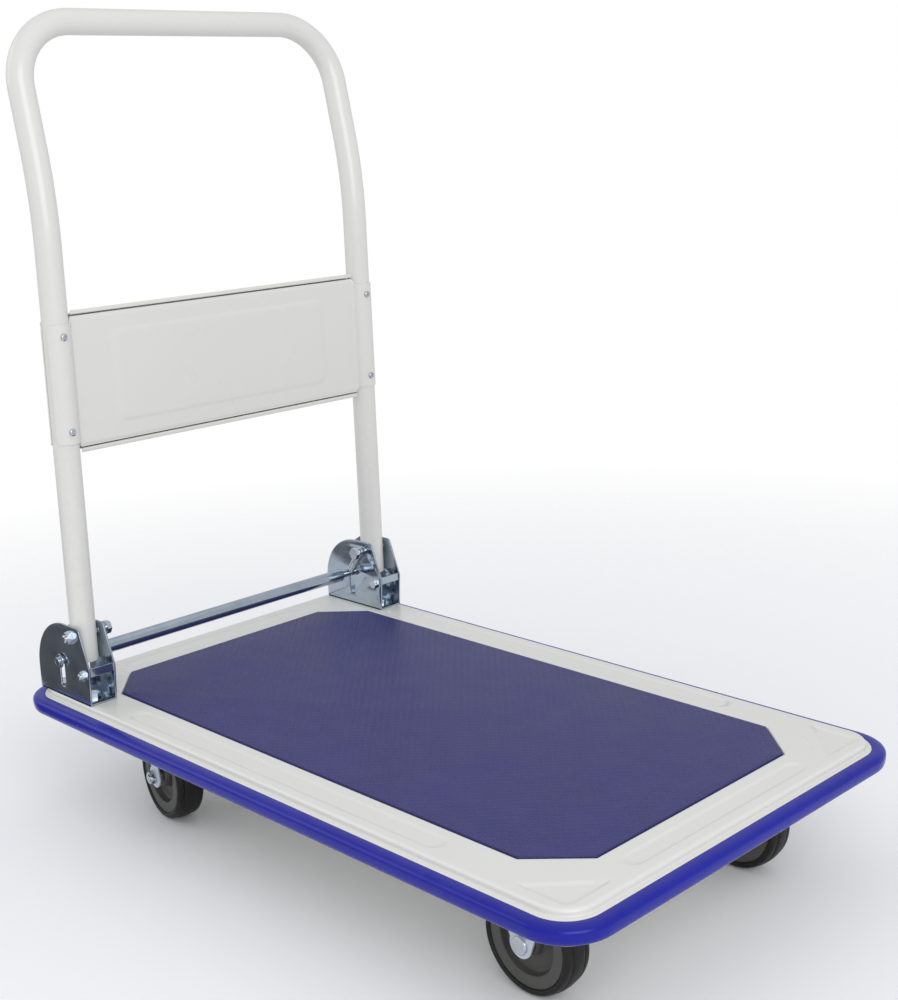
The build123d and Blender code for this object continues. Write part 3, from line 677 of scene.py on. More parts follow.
@dataclass(frozen=True)
class MatFinish(Finish):
    """Vinyl deck mat with a raised lattice of short ribs."""

    pitch: float = 5.2 * MM

    def relief(self, wires: Wiring, effects: Effects) -> bpy.types.NodeSocket:
        """Short ribs that lean left and right by turns, over a fine grain."""
        where = wires.node("ShaderNodeTexCoord")
        parts = wires.node("ShaderNodeSeparateXYZ")
        wires.join(where.outputs["Object"], parts.inputs[0])
        x = wires.sum("DIVIDE", parts.outputs["X"], self.pitch)
        y = wires.sum("DIVIDE", parts.outputs["Y"], self.pitch)
        ribs = []
        for sign in (1.0, -1.0):
            along = wires.sum("ADD", x, wires.sum("MULTIPLY", y, sign))
            across = wires.sum("SUBTRACT", x, wires.sum("MULTIPLY", y, sign))
            wave = wires.sum("ABSOLUTE", wires.sum("SINE", wires.sum("MULTIPLY", along, math.pi)))
            cut = wires.sum("SINE", wires.sum("MULTIPLY", across, math.pi))
            cut = wires.spread(wires.sum("MULTIPLY", cut, sign), -0.15, 0.25)
            ridge = wires.spread(wave, 0.72, 0.98)
            ribs.append(wires.sum("MULTIPLY", ridge, cut))
        lattice = wires.sum("MAXIMUM", ribs[0], ribs[1])
        grain = self.placed(wires, effects.grain, Scale=self.grain_scale, Cells=self.grain_cells)
        return wires.sum("ADD", lattice, wires.sum("MULTIPLY", grain.outputs["Height"], 0.25))


@dataclass(frozen=True)
class Palette:
    """Every finish on the cart."""

    cream: Finish = Finish("cream_powder_coat", "cream_powder_coat", (0.72, 0.715, 0.665),
                           (0.728, 0.723, 0.673), rough=(0.26, 0.29), coat=0.25,
                           grain_scale=650.0, grain_depth=0.02, wear=0.15,
                           wear_colour=(0.6, 0.6, 0.58), scuff=0.02,
                           mottle_scale=5.0)
    mat: Finish = MatFinish("mat_vinyl", "mat_vinyl", (0.036, 0.034, 0.145),
                            (0.042, 0.039, 0.170), rough=(0.4, 0.48), specular=0.28, grain_scale=1200.0,
                            grain_depth=0.35, grain_cells=0.4, dust=0.03, scuff=0.25)
    bumper: Finish = Finish("bumper_vinyl", "bumper_vinyl", (0.008, 0.010, 0.27),
                            (0.010, 0.012, 0.30), rough=(0.2, 0.26), specular=0.25,
                            grain_scale=700.0, grain_depth=0.015, dust=0.02)
    bright_zinc: Finish = Finish("bright_zinc", "bright_zinc", (0.36, 0.42, 0.49),
                                 (0.46, 0.52, 0.58), rough=(0.1, 0.17), metal=1.0,
                                 grain_scale=1400.0, grain_depth=0.004, scuff=0.35,
                                 mottle_scale=45.0)
    # Painted light: this zinc is made paler than the plating to make up for the shade the forks sit in
    # under the deck.
    satin_zinc: Finish = Finish("satin_zinc", "satin_zinc", (0.56, 0.63, 0.70),
                                (0.62, 0.69, 0.75), rough=(0.34, 0.42), metal=0.45,
                                grain_scale=1600.0, grain_depth=0.006, scuff=0.3, dust=0.04,
                                mottle_scale=60.0)
    fastener: Finish = Finish("fastener_zinc", "fastener_zinc", (0.50, 0.54, 0.60),
                              (0.62, 0.65, 0.70), rough=(0.16, 0.26), metal=1.0,
                              grain_scale=1800.0, grain_depth=0.004, scuff=0.4,
                              mottle_scale=120.0)
    spring: Finish = Finish("spring_steel", "spring_steel", (0.58, 0.6, 0.63),
                            (0.66, 0.68, 0.7), rough=(0.2, 0.3), metal=1.0,
                            grain_depth=0.003, mottle_scale=90.0)
    bush: Finish = Finish("bush_steel", "bush_steel", (0.42, 0.42, 0.43), (0.5, 0.5, 0.5),
                          rough=(0.35, 0.45), metal=1.0, grain_depth=0.004)
    hub: Finish = Finish("hub_plastic", "hub_plastic", (0.060, 0.058, 0.054),
                         (0.07, 0.068, 0.063), rough=(0.42, 0.55), grain_scale=1100.0,
                         grain_depth=0.02, dust=0.04)
    tyre: Finish = Finish("tyre_rubber", "tyre_rubber", (0.010, 0.0092, 0.0085),
                          (0.014, 0.013, 0.012), rough=(0.4, 0.52), specular=0.25, grain_scale=1000.0,
                          grain_depth=0.02, dust=0.03, scuff=0.3)


class Paintshop:
    """Makes each finish once and dresses pieces in it."""

    def __init__(self) -> None:
        """Build the effects and the palette."""
        self.effects = Effects()
        self.palette = Palette()
        self.made: dict[str, bpy.types.Material] = {}
        self.by_slot: dict[str, Finish] = {
            finish.slot: finish for finish in vars(self.palette).values()}

    def dress(self, piece: bpy.types.Object, finish: Finish) -> bpy.types.Object:
        """Give a piece its finish."""
        if finish.name not in self.made:
            self.made[finish.name] = finish.material(self.effects)
        piece.data.materials.clear()
        piece.data.materials.append(self.made[finish.name])
        return piece


@dataclass
class Assembly:
    """A sub-assembly that sets its pieces on a body in place of CAD nodes."""

    shop: Paintshop
    joints: Sequence[dict] = ()

    def joint(self, name: str) -> dict:
        """The record's joint of that name."""
        return next(j for j in self.joints if j["name"] == name)

    def fit(self, piece: bpy.types.Object, finish: Finish, body: str,
            *nodes: str) -> bpy.types.Object:
        """Dress a piece, let it move with a body, and hide the nodes it stands for."""
        self.shop.dress(piece, finish)
        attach(piece, body)
        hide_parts(*nodes)
        LOG.info("%s on %s: %d faces", piece.name, body, len(piece.data.polygons))
        return piece


def side_view(y: float) -> Matrix:
    """Plane that shows x across and z up, at a distance y to the left."""
    return Matrix(((1, 0, 0, 0), (0, 0, -1, y), (0, 1, 0, 0), (0, 0, 0, 1)))


def end_view(x: float) -> Matrix:
    """Plane that shows y across and z up, at a distance x forward."""
    return Matrix(((0, 0, 1, x), (1, 0, 0, 0), (0, 1, 0, 0), (0, 0, 0, 1)))


# ------------------------------------------------------------------ deck
@dataclass
class Deck(Assembly):
    """Pressed steel deck with its mat and its bumper."""

    corner: float = 36 * MM
    sheet: float = 1.2 * MM
    ledge_drop: float = 6 * MM
    mat_cut: Point2 = (47 * MM, 42 * MM)
    recess: float = 3 * MM
    press_depth: float = 1.3 * MM
    press_soft: float = 2.2 * MM
    side_press: Point2 = (215 * MM, 10 * MM)
    front_press: Point2 = (115 * MM, 9 * MM)
    corner_leg: float = 50 * MM
    tip_round: float = 6 * MM
    tip_inset: float = 19 * MM
    fan_rings: int = 30

    def dip(self, x: float, y: float) -> float:
        """Depth of the shallow pressings at a point of the rim."""
        low, high = box_of("deck_mat")
        pan_low, pan_high = box_of("deck_pan")
        band_y = (high.y + pan_high.y) / 2 - 1.5 * MM
        band_x = (high.x + pan_high.x) / 2 - 1.5 * MM
        ax, ay = abs(x), abs(y)
        reach, half = self.side_press
        side = math.hypot(max(0.0, ax - reach), ay - band_y) - half
        reach, half = self.front_press
        front = math.hypot(max(0.0, ay - reach), ax - band_x) - half
        depth = max(smoothstep(0.5 - side / self.press_soft),
                    smoothstep(0.5 - front / self.press_soft))
        if x > 0:
            tip_x, tip_y = pan_high.x - self.tip_inset, pan_high.y - self.tip_inset
            lean = ((tip_x - ax) + (tip_y - ay) - self.corner_leg) / math.sqrt(2)
            near = (math.hypot(max(0, ax - tip_x + self.tip_round),
                               max(0, ay - tip_y + self.tip_round)) - self.tip_round)
            inside = max(near, lean)
            depth = max(depth, smoothstep(0.5 - inside / self.press_soft))
        return depth * self.press_depth

    def pan(self) -> bpy.types.Object:
        """Press the deck: hem, skirt, ledge, rounded shoulder, rim and recess."""
        low, high = box_of("deck_pan")
        length, width = high.x - low.x, high.y - low.y
        foot, top = low.z, high.z
        ledge = top - self.ledge_drop
        steps = [(9, foot), (3, foot), (1.0, foot + 0.25 * MM), (0.2, foot + 1 * MM),
                 (0, foot + 2 * MM), (0, ledge - 1.8 * MM), (0.25, ledge - 0.8 * MM),
                 (0.9, ledge - 0.15 * MM), (1.8, ledge), (3.7, ledge),
                 (4.5, ledge + 0.25 * MM), (4.9, ledge + 0.9 * MM), (5.0, ledge + 1.8 * MM),
                 (5.1, top - 2.9 * MM), (5.45, top - 1.7 * MM), (6.2, top - 0.75 * MM),
                 (7.4, top - 0.18 * MM), (9.0, top)]
        rings = []
        for inset, z in steps:
            d = inset * MM
            line = Outline.rounded(length - 2 * d, width - 2 * d, self.corner - d)
            rings.append(Outline.lifted(line, z))
        outer = Outline.rounded(length - 18 * MM, width - 18 * MM, self.corner - 9 * MM)
        mat_low, mat_high = box_of("deck_mat")
        size = (mat_high.x - mat_low.x, mat_high.y - mat_low.y)
        inner = Outline.clipped(*size, *self.mat_cut, grow=3.4 * MM)
        for i in range(1, self.fan_rings + 1):
            t = i / self.fan_rings
            ring = []
            for (ax, ay), (bx, by) in zip(outer, inner):
                x, y = ax + (bx - ax) * t, ay + (by - ay) * t
                ring.append(Vector((x, y, top - self.dip(x, y))))
            rings.append(ring)
        floor = top - self.recess
        for grow, z in ((2.3, top - 0.15 * MM), (1.6, top - 0.6 * MM), (1.15, top - 1.3 * MM),
                        (1.0, floor + 0.5 * MM), (0.7, floor + 0.1 * MM), (0.0, floor)):
            line = Outline.clipped(*size, *self.mat_cut, grow=grow * MM)
            rings.append(Outline.lifted(line, z))
        verts, faces = MeshShop.skin(rings, last_cap=True)
        pan = MeshShop.build("pressed_deck", verts, faces)
        pan = MeshShop.thickened(pan, self.sheet)
        return self.fit(pan, self.shop.palette.cream, "chassis", "deck_pan")

    def mat(self) -> bpy.types.Object:
        """Lay the vinyl mat, with its top edge slightly rounded."""
        low, high = box_of("deck_mat")
        size = (high.x - low.x, high.y - low.y)
        rings = []
        for inset, z in ((0.1, low.z), (0.0, low.z + 0.3 * MM), (0.0, high.z - 0.8 * MM),
                         (0.12, high.z - 0.4 * MM), (0.4, high.z - 0.1 * MM), (0.9, high.z)):
            line = Outline.clipped(*size, *self.mat_cut, grow=-inset * MM)
            rings.append(Outline.lifted(line, z))
        verts, faces = MeshShop.skin(rings, first_cap=True, last_cap=True)
        mat = MeshShop.build("ribbed_mat", verts, faces, sharp=60)
        return self.fit(mat, self.shop.palette.mat, "chassis", "deck_mat")

    def bumper(self) -> bpy.types.Object:
        """Run the vinyl bumper strip round the skirt."""
        low, high = box_of("deck_pan")
        length, width = high.x - low.x, high.y - low.y
        edge_low, edge_high = box_of("edge_bumper")
        top = edge_high.z
        reach = edge_high.x - high.x
        drop = edge_high.z - edge_low.z
        section = [(0, -1), (0, -0.01), (0.1, 0), (0.38, 0), (0.62, -0.015), (0.8, -0.06),
                   (0.92, -0.13), (0.99, -0.23), (1, -0.32), (0.99, -0.5), (0.96, -0.68),
                   (0.9, -0.84), (0.8, -0.94), (0.6, -0.985), (0.18, -1)]
        rings = []
        for u, v in section:
            d = u * reach
            line = Outline.rounded(length + 2 * d, width + 2 * d, self.corner + d)
            rings.append(Outline.lifted(line, top + v * drop))
        verts, faces = MeshShop.skin(rings, tube=True)
        strip = MeshShop.build("bumper_strip", verts, faces, sharp=50)
        return self.fit(strip, self.shop.palette.bumper, "chassis", "edge_bumper")

    def make(self) -> None:
        """Build the whole deck."""
        self.pan()
        self.mat()
        self.bumper()


# ------------------------------------------------------------------ hinge brackets
@dataclass
class HingeBracket(Assembly):
    """Plated bracket that carries one leg of the handle."""

    sheet: float = 2 * MM
    arc: float = 56 * MM
    flat: float = 30 * MM
    knee: Point2 = (-276 * MM, 39 * MM)
    front: float = -278.7 * MM
    slot_x: float = -330 * MM
    slot: Point2 = (10.2 * MM, 44.8 * MM)
    slot_half: float = 4.8 * MM
    pivot_hole: float = 4.4 * MM
    stop_hole: float = 3.3 * MM
    strap: Point2 = (32 * MM, 41 * MM)
    edge: float = 0.35 * MM

    def cheek_line(self, low: Vector, high: Vector) -> list[Point2]:
        """Outside line of a cheek, seen from the side."""
        top, foot = high.z, low.z
        rear = low.x
        line = [(rear, foot), (self.front, foot), (self.knee[0], foot + self.knee[1])]
        tip = Vector((rear + self.arc + self.flat, top))
        round_off = filleted([Vector((self.knee[0], foot + self.knee[1], 0)), tip.to_3d(),
                              Vector((rear + self.arc, top, 0))], [5 * MM], 0.6 * MM)
        line += [(p.x, p.y) for p in round_off[1:-1]]
        for k in range(25):
            a = math.radians(90 + 90 * k / 24)
            line.append((rear + self.arc + self.arc * math.cos(a),
                         top - self.arc + self.arc * math.sin(a)))
        return line

    def slot_line(self, foot: float) -> list[Point2]:
        """Line of the slot that the lock rod runs in."""
        line = []
        low, high = foot + self.slot[0] + self.slot_half, foot + self.slot[1] - self.slot_half
        for centre, start in ((high, 0), (low, 180)):
            for k in range(13):
                a = math.radians(start + 15 * k)
                line.append((self.slot_x + self.slot_half * math.cos(a),
                             centre + self.slot_half * math.sin(a)))
        return line

    def make(self, side: str) -> bpy.types.Object:
        """Build one bracket.

        Args:
            side: left or right.

        Returns:
            The bracket.
        """
        node = side + "_hinge_bracket"
        low, high = box_of(node)
        middle = (low.y + high.y) / 2
        pivot = centre_of("pivot_bolts")
        stop = centre_of("stop_bolts")
        holes = [self.slot_line(low.z), circle(pivot.x, pivot.z, self.pivot_hole),
                 circle(stop.x, stop.z, self.stop_hole)]
        parts = []
        for y in (low.y + self.sheet / 2, high.y - self.sheet / 2):
            parts.append(MeshShop.cut_plate("cheek", self.cheek_line(low, high), holes,
                                            self.sheet, self.edge, side_view(y)))
        x0, x1 = low.x + 1 * MM, self.front
        half = (high.y - low.y) / 2
        foot = rounded_polygon([(x0, middle - half), (x1, middle - half), (x1, middle + half),
                                (x0, middle + half)], [0.6 * MM] * 4)
        parts.append(MeshShop.cut_plate(
            "foot", foot, [], self.sheet, self.edge,
            Matrix.Translation((0, 0, low.z + self.sheet / 2))))
        z0, z1 = low.z + self.strap[0], low.z + self.strap[1]
        band = rounded_polygon([(middle - half, z0), (middle + half, z0), (middle + half, z1),
                                (middle - half, z1)], [0.8 * MM] * 4)
        parts.append(MeshShop.cut_plate("strap", band, [], self.sheet, self.edge,
                                        end_view(self.knee[0] - 2.2 * MM)))
        bracket = MeshShop.joined(side + "_bracket", parts)
        return self.fit(bracket, self.shop.palette.bright_zinc, "chassis", node)


# ------------------------------------------------------------------ handle
@dataclass
class Handle(Assembly):
    """Bent tube handle with its two-shell panel."""

    tube: float = 13.6 * MM
    wall: float = 1.5 * MM
    bend: float = 486 * MM
    lean: float = 12.0
    vertex: float = 658 * MM
    corner: float = 68 * MM
    panel_low: float = 403 * MM
    panel_high: float = 539 * MM
    sheet: float = 1.2 * MM
    fit_gap: float = 0.15 * MM
    setback: float = 5.6 * MM
    wrap: float = 67.0
    tab_cut: Point2 = (6 * MM, 6 * MM)
    tab_round: float = 7 * MM
    lip: float = 4.5 * MM
    lip_gap: float = 0.9 * MM
    emboss_half: Point2 = (141 * MM, 48 * MM)
    emboss_round: float = 9 * MM

    def frame_tube(self) -> bpy.types.Object:
        """Bend the handle's tube."""
        low, high = box_of("handle_tube")
        half = high.y - self.tube
        x = centre_of("pivot_bolts").x
        top = high.z - self.tube
        back = x - (top - self.vertex) * math.tan(math.radians(self.lean))
        points = [(x, -half, low.z), (x, -half, self.vertex), (back, -half, top),
                  (back, half, top), (x, half, self.vertex), (x, half, low.z)]
        path = filleted([Vector(p) for p in points],
                        [self.bend, self.corner, self.corner, self.bend], 5 * MM)
        tube = MeshShop.drawn_tube("bent_tube", path, self.tube, self.tube - self.wall, steps=48)
        return self.fit(tube, self.shop.palette.cream, "handle", "handle_tube")

    def plan(self, towards: int) -> list[tuple[Point2, float]]:
        """A shell's outer line in plan, with each point's distance from its tab's end.

        Args:
            towards: 1 for the front shell, -1 for the back one.

        Returns:
            Points from the left tab to the right one, each with a distance.
        """
        x = centre_of("pivot_bolts").x
        leg = box_of("handle_tube")[1].y - self.tube
        radius = self.tube + self.fit_gap + self.sheet
        meet = math.degrees(math.acos(self.setback / radius))
        line: list[Point2] = []
        steps = 34
        for k in range(steps + 1):
            a = math.radians(self.wrap - (self.wrap + meet - 12) * k / steps)
            line.append((radius * math.cos(a), leg + radius * math.sin(a)))
        start = line[-1]
        knee = (self.setback, leg - radius * math.sin(math.radians(meet)))
        end = (self.setback, knee[1] - 3 * MM)
        for k in range(1, 8):
            t = k / 8
            line.append(tuple((1 - t) ** 2 * start[i] + 2 * t * (1 - t) * knee[i] + t * t * end[i]
                              for i in range(2)))
        across = 110
        for k in range(across // 2 + 1):
            line.append((self.setback, end[1] * (1 - 2 * k / across)))
        gone = 0.0
        half: list[tuple[Point2, float]] = []
        for i, point in enumerate(line):
            gone += math.dist(point, line[i - 1]) if i else 0.0
            half.append((point, gone))
        mirrored = [((px, -py), d) for (px, py), d in reversed(half[:-1])]
        return [((x + towards * px, py), d) for (px, py), d in half + mirrored]

    def shell(self, name: str, towards: int, low: float, high: float) -> bpy.types.Object:
        """Press one shell of the panel.

        Args:
            name: Name of the piece.
            towards: 1 for the front shell, -1 for the back one.
            low: Height of its lower edge.
            high: Height of its upper edge.

        Returns:
            The sheet with its thickness.
        """
        leg = box_of("handle_tube")[1].y - self.tube
        middle = (self.panel_low + self.panel_high) / 2
        rows = 84
        rings = []
        for (x, y), gone in self.plan(towards):
            on_leg = smoothstep((abs(y) - (leg - self.tube - 1.5 * MM)) / (3 * MM))
            curl = 0.0
            if gone < self.tab_round:
                curl = self.tab_round - math.sqrt(self.tab_round ** 2
                                                  - (self.tab_round - gone) ** 2)
            z0 = low + self.tab_cut[0] * on_leg + curl
            z1 = high - self.tab_cut[1] * on_leg - curl
            column = []
            for k in range(rows + 1):
                t = k / rows
                t -= 0.06 * math.sin(2 * math.pi * t)
                z = z0 + (z1 - z0) * t
                qy = abs(y) - self.emboss_half[0] + self.emboss_round
                qz = abs(z - middle) - self.emboss_half[1] + self.emboss_round
                off = math.hypot(max(qy, 0), max(qz, 0)) + min(max(qy, qz), 0)
                raised = smoothstep(0.5 - (off - self.emboss_round) / (4.5 * MM)) * 0.8 * MM
                edge = min(z - low, high - z)
                fall = smoothstep(1 - edge / (4.5 * MM)) * 0.9 * MM * (1 - on_leg)
                column.append(Vector((x + towards * (raised - fall), y, z)))
            rings.append(column)
        verts, faces = MeshShop.skin(rings, loop=False)
        piece = MeshShop.build(name, verts, faces)
        outward = sum((p.normal.x * p.area for p in piece.data.polygons), 0.0) * towards
        if outward < 0:
            piece.data.flip_normals()
        return MeshShop.thickened(piece, self.sheet)

    def lips(self) -> list[bpy.types.Object]:
        """Fold the back shell's edges forward, past the front shell, into two lips."""
        x = centre_of("pivot_bolts").x
        leg = box_of("handle_tube")[1].y - self.tube
        half = leg - self.tube - self.fit_gap - 1.5 * MM
        made = []
        for z, way in ((self.panel_low - self.lip_gap - self.sheet / 2, -1),
                       (self.panel_high + self.lip_gap + self.sheet / 2, 1)):
            back, front = x - self.setback + 0.6 * MM, x + self.setback
            line = [(back, z), (front - 1.4 * MM, z), (front - 0.5 * MM, z + way * 0.2 * MM),
                    (front, z + way * 0.9 * MM), (front, z + way * (self.lip - 1.0 * MM)),
                    (front - 0.3 * MM, z + way * (self.lip - 0.25 * MM)),
                    (front - 0.9 * MM, z + way * self.lip)]
            rings = [[Vector((px, y, pz)) for px, pz in line]
                     for y in (-half, -half * 0.5, 0.0, half * 0.5, half)]
            verts, faces = MeshShop.skin(rings, loop=False)
            strip = MeshShop.build("lip", verts, faces)
            if sum(p.normal.x * p.area for p in strip.data.polygons) < 0:
                strip.data.flip_normals()
            made.append(MeshShop.thickened(strip, self.sheet * 0.8))
        return made

    def panel(self) -> None:
        """Make both shells of the panel."""
        front = self.shell("panel_front_shell", 1, self.panel_low, self.panel_high)
        self.fit(front, self.shop.palette.cream, "handle", "panel_front")
        reach = self.lip_gap + self.sheet
        back = self.shell("panel_back_sheet", -1, self.panel_low - reach,
                          self.panel_high + reach)
        tray = MeshShop.joined("panel_back_tray", [back, *self.lips()])
        self.fit(tray, self.shop.palette.cream, "handle", "panel_back")

    def make(self) -> None:
        """Build the handle."""
        self.frame_tube()
        self.panel()


# ------------------------------------------------------------------ foot bar and springs
@dataclass
class FootBar(Assembly):
    """Lock rod with its sleeve, and the springs that lift it."""

    wire: float = 0.6 * MM
    coil: float = 3.3 * MM
    turns: int = 10
    opening: float = 40.0
    eye_fit: float = 0.3 * MM
    pivot_bolt: float = 4 * MM

    def round_bar(self, node: str, name: str, bore: float, edge: float,
                  finish: Finish) -> bpy.types.Object:
        """Turn a bar along y in place of a CAD node.

        Args:
            node: CAD node it stands for.
            name: Name of the piece.
            bore: Radius of its bore, or 0.
            edge: Softening of its ends.
            finish: Its finish.

        Returns:
            The bar.
        """
        low, high = box_of(node)
        centre, radius = (low + high) / 2, (high.x - low.x) / 2
        half = (high.y - low.y) / 2
        inner = max(bore, 0.02 * MM)
        line = [(inner, -half), (radius - edge, -half), (radius - 0.3 * edge, -half + 0.3 * edge),
                (radius, -half + edge)]
        line += [(radius, -half + edge + (2 * half - 2 * edge) * k / 12) for k in range(1, 13)]
        line += [(radius - 0.3 * edge, half - 0.3 * edge), (radius - edge, half), (inner, half)]
        bar = MeshShop.turned(name, line, Matrix.Translation(centre), steps=48)
        return self.fit(bar, finish, "foot_bar", node)

    def spring(self, side: str) -> bpy.types.Object:
        """Wind one lock spring from the pivot bolt to the lock rod."""
        node = side + "_lock_spring"
        hook, rod = centre_of("pivot_bolts"), centre_of("lock_rod")
        y = centre_of(node).y
        start, end = Vector((hook.x, y, hook.z)), Vector((rod.x, y, rod.z))
        along = (end - start).normalized()
        across = Vector((0, 1, 0)).cross(along).normalized()
        length = (end - start).length
        upper = self.pivot_bolt + self.eye_fit + self.wire
        lower = (box_of("lock_rod")[1].x - box_of("lock_rod")[0].x) / 2 + self.eye_fit + self.wire

        def at(a: float, b: float, c: float) -> Vector:
            """Point from distances across, sideways and along the spring."""
            return start + across * a + Vector((0, 1, 0)) * b + along * c

        line: Ring = []
        for k in range(25):
            a = math.radians(self.opening + (360 - self.opening) * k / 24)
            line.append(at(-upper * math.sin(a), 0, upper * math.cos(a)))
        begin = upper + 1.5 * self.wire
        rise = length - lower - 1.5 * self.wire - begin
        steps = self.turns * 20
        for k in range(1, steps):
            a = 2 * math.pi * k / 20
            line.append(at(self.coil * math.sin(a), self.coil * math.cos(a),
                           begin + rise * k / steps))
        for k in range(25):
            a = math.radians((360 - self.opening) * k / 24)
            line.append(at(lower * math.sin(a), 0, length - lower * math.cos(a)))
        wire = MeshShop.drawn_tube(side + "_spring_wire", line, self.wire, steps=10)
        self.shop.dress(wire, self.shop.palette.spring)
        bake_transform(wire)
        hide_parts(node)
        LOG.info("%s stretches from chassis to foot_bar", wire.name)
        return wire

    def make(self) -> None:
        """Build the bar and both springs."""
        palette = self.shop.palette
        self.round_bar("lock_rod", "lock_rod_bar", 0, 0.8 * MM, palette.bright_zinc)
        rod = box_of("lock_rod")
        bore = (rod[1].x - rod[0].x) / 2 + 0.05 * MM
        self.round_bar("foot_sleeve", "foot_sleeve_tube", bore, 1 * MM, palette.bright_zinc)
        for side in SIDES:
            self.spring(side)


# ------------------------------------------------------------------ casters
@dataclass
class Wheel(Assembly):
    """Caster wheel: a rubber tyre on a moulded hub."""

    radius: float = 48.5 * MM
    half: float = 15 * MM
    rim: float = 41 * MM
    rim_half: float = 13.5 * MM
    ring: float = 11 * MM
    recess: float = 8.5 * MM
    boss: float = 12.5 * MM
    bore: float = 5.66 * MM

    def tyre_line(self) -> list[Point2]:
        """Half section of the tyre: sidewalls, round shoulders, a shallow groove each side."""
        r, h = self.radius, self.half / MM
        half_line = [(self.rim, (h - 1.6) * MM), (self.rim + 0.5 * MM, (h - 0.6) * MM),
                     (self.rim + 1.4 * MM, (h - 0.08) * MM), (self.rim + 2.2 * MM, h * MM),
                     (r - 4.8 * MM, h * MM), (r - 3.9 * MM, (h - 0.15) * MM),
                     (r - 3.0 * MM, (h - 0.7) * MM), (r - 2.2 * MM, (h - 1.6) * MM),
                     (r - 1.6 * MM, (h - 2.9) * MM), (r - 1.3 * MM, (h - 4.2) * MM),
                     (r - 1.15 * MM, (h - 5.6) * MM), (r - 1.2 * MM, (h - 6.5) * MM),
                     (r - 1.75 * MM, (h - 7.0) * MM), (r - 1.8 * MM, (h - 7.7) * MM),
                     (r - 0.9 * MM, (h - 8.3) * MM), (r - 0.4 * MM, (h - 9.6) * MM),
                     (r - 0.1 * MM, (h - 12.0) * MM), (r, 0.0)]
        return half_line + [(a, -b) for a, b in reversed(half_line[:-1])]

    def hub_line(self) -> list[Point2]:
        """Section of the hub: bore, boss, recessed web and rim ring."""
        h, web = self.rim_half, self.rim_half - self.recess
        inner = self.rim - self.ring
        half_line = [(self.bore, h), (self.boss - 0.8 * MM, h), (self.boss, h - 0.8 * MM),
                     (self.boss + 0.9 * MM, web + 1.2 * MM), (self.boss + 2.2 * MM, web),
                     (inner - 3.4 * MM, web), (inner - 1.8 * MM, web + 0.8 * MM),
                     (inner - 1.0 * MM, web + 2.2 * MM), (inner - 0.2 * MM, h - 0.9 * MM),
                     (inner + 0.7 * MM, h - 0.05 * MM), (inner + 1.6 * MM, h),
                     (self.rim - 0.8 * MM, h), (self.rim, h - 0.8 * MM)]
        return half_line + [(a, -b) for a, b in reversed(half_line)]

    def make(self, side: str, end: str) -> None:
        """Build one wheel.

        Args:
            side: left or right.
            end: front or rear.
        """
        stem = f"{side}_{end}"
        joint = self.joint(stem + "_wheel_spin")
        axis = Vector(joint["axis"])
        turn = Vector((0, 1, 0)).rotation_difference(axis).to_matrix().to_4x4()
        place = Matrix.Translation(Vector(joint["pos_m"])) @ turn
        tyre = MeshShop.turned(stem + "_tyre_ring", self.tyre_line(), place, steps=120)
        self.fit(tyre, self.shop.palette.tyre, stem + "_wheel", stem + "_tyre")
        hub = MeshShop.turned(stem + "_hub_wheel", self.hub_line(), place, steps=96)
        self.fit(hub, self.shop.palette.hub, stem + "_wheel", stem + "_hub")


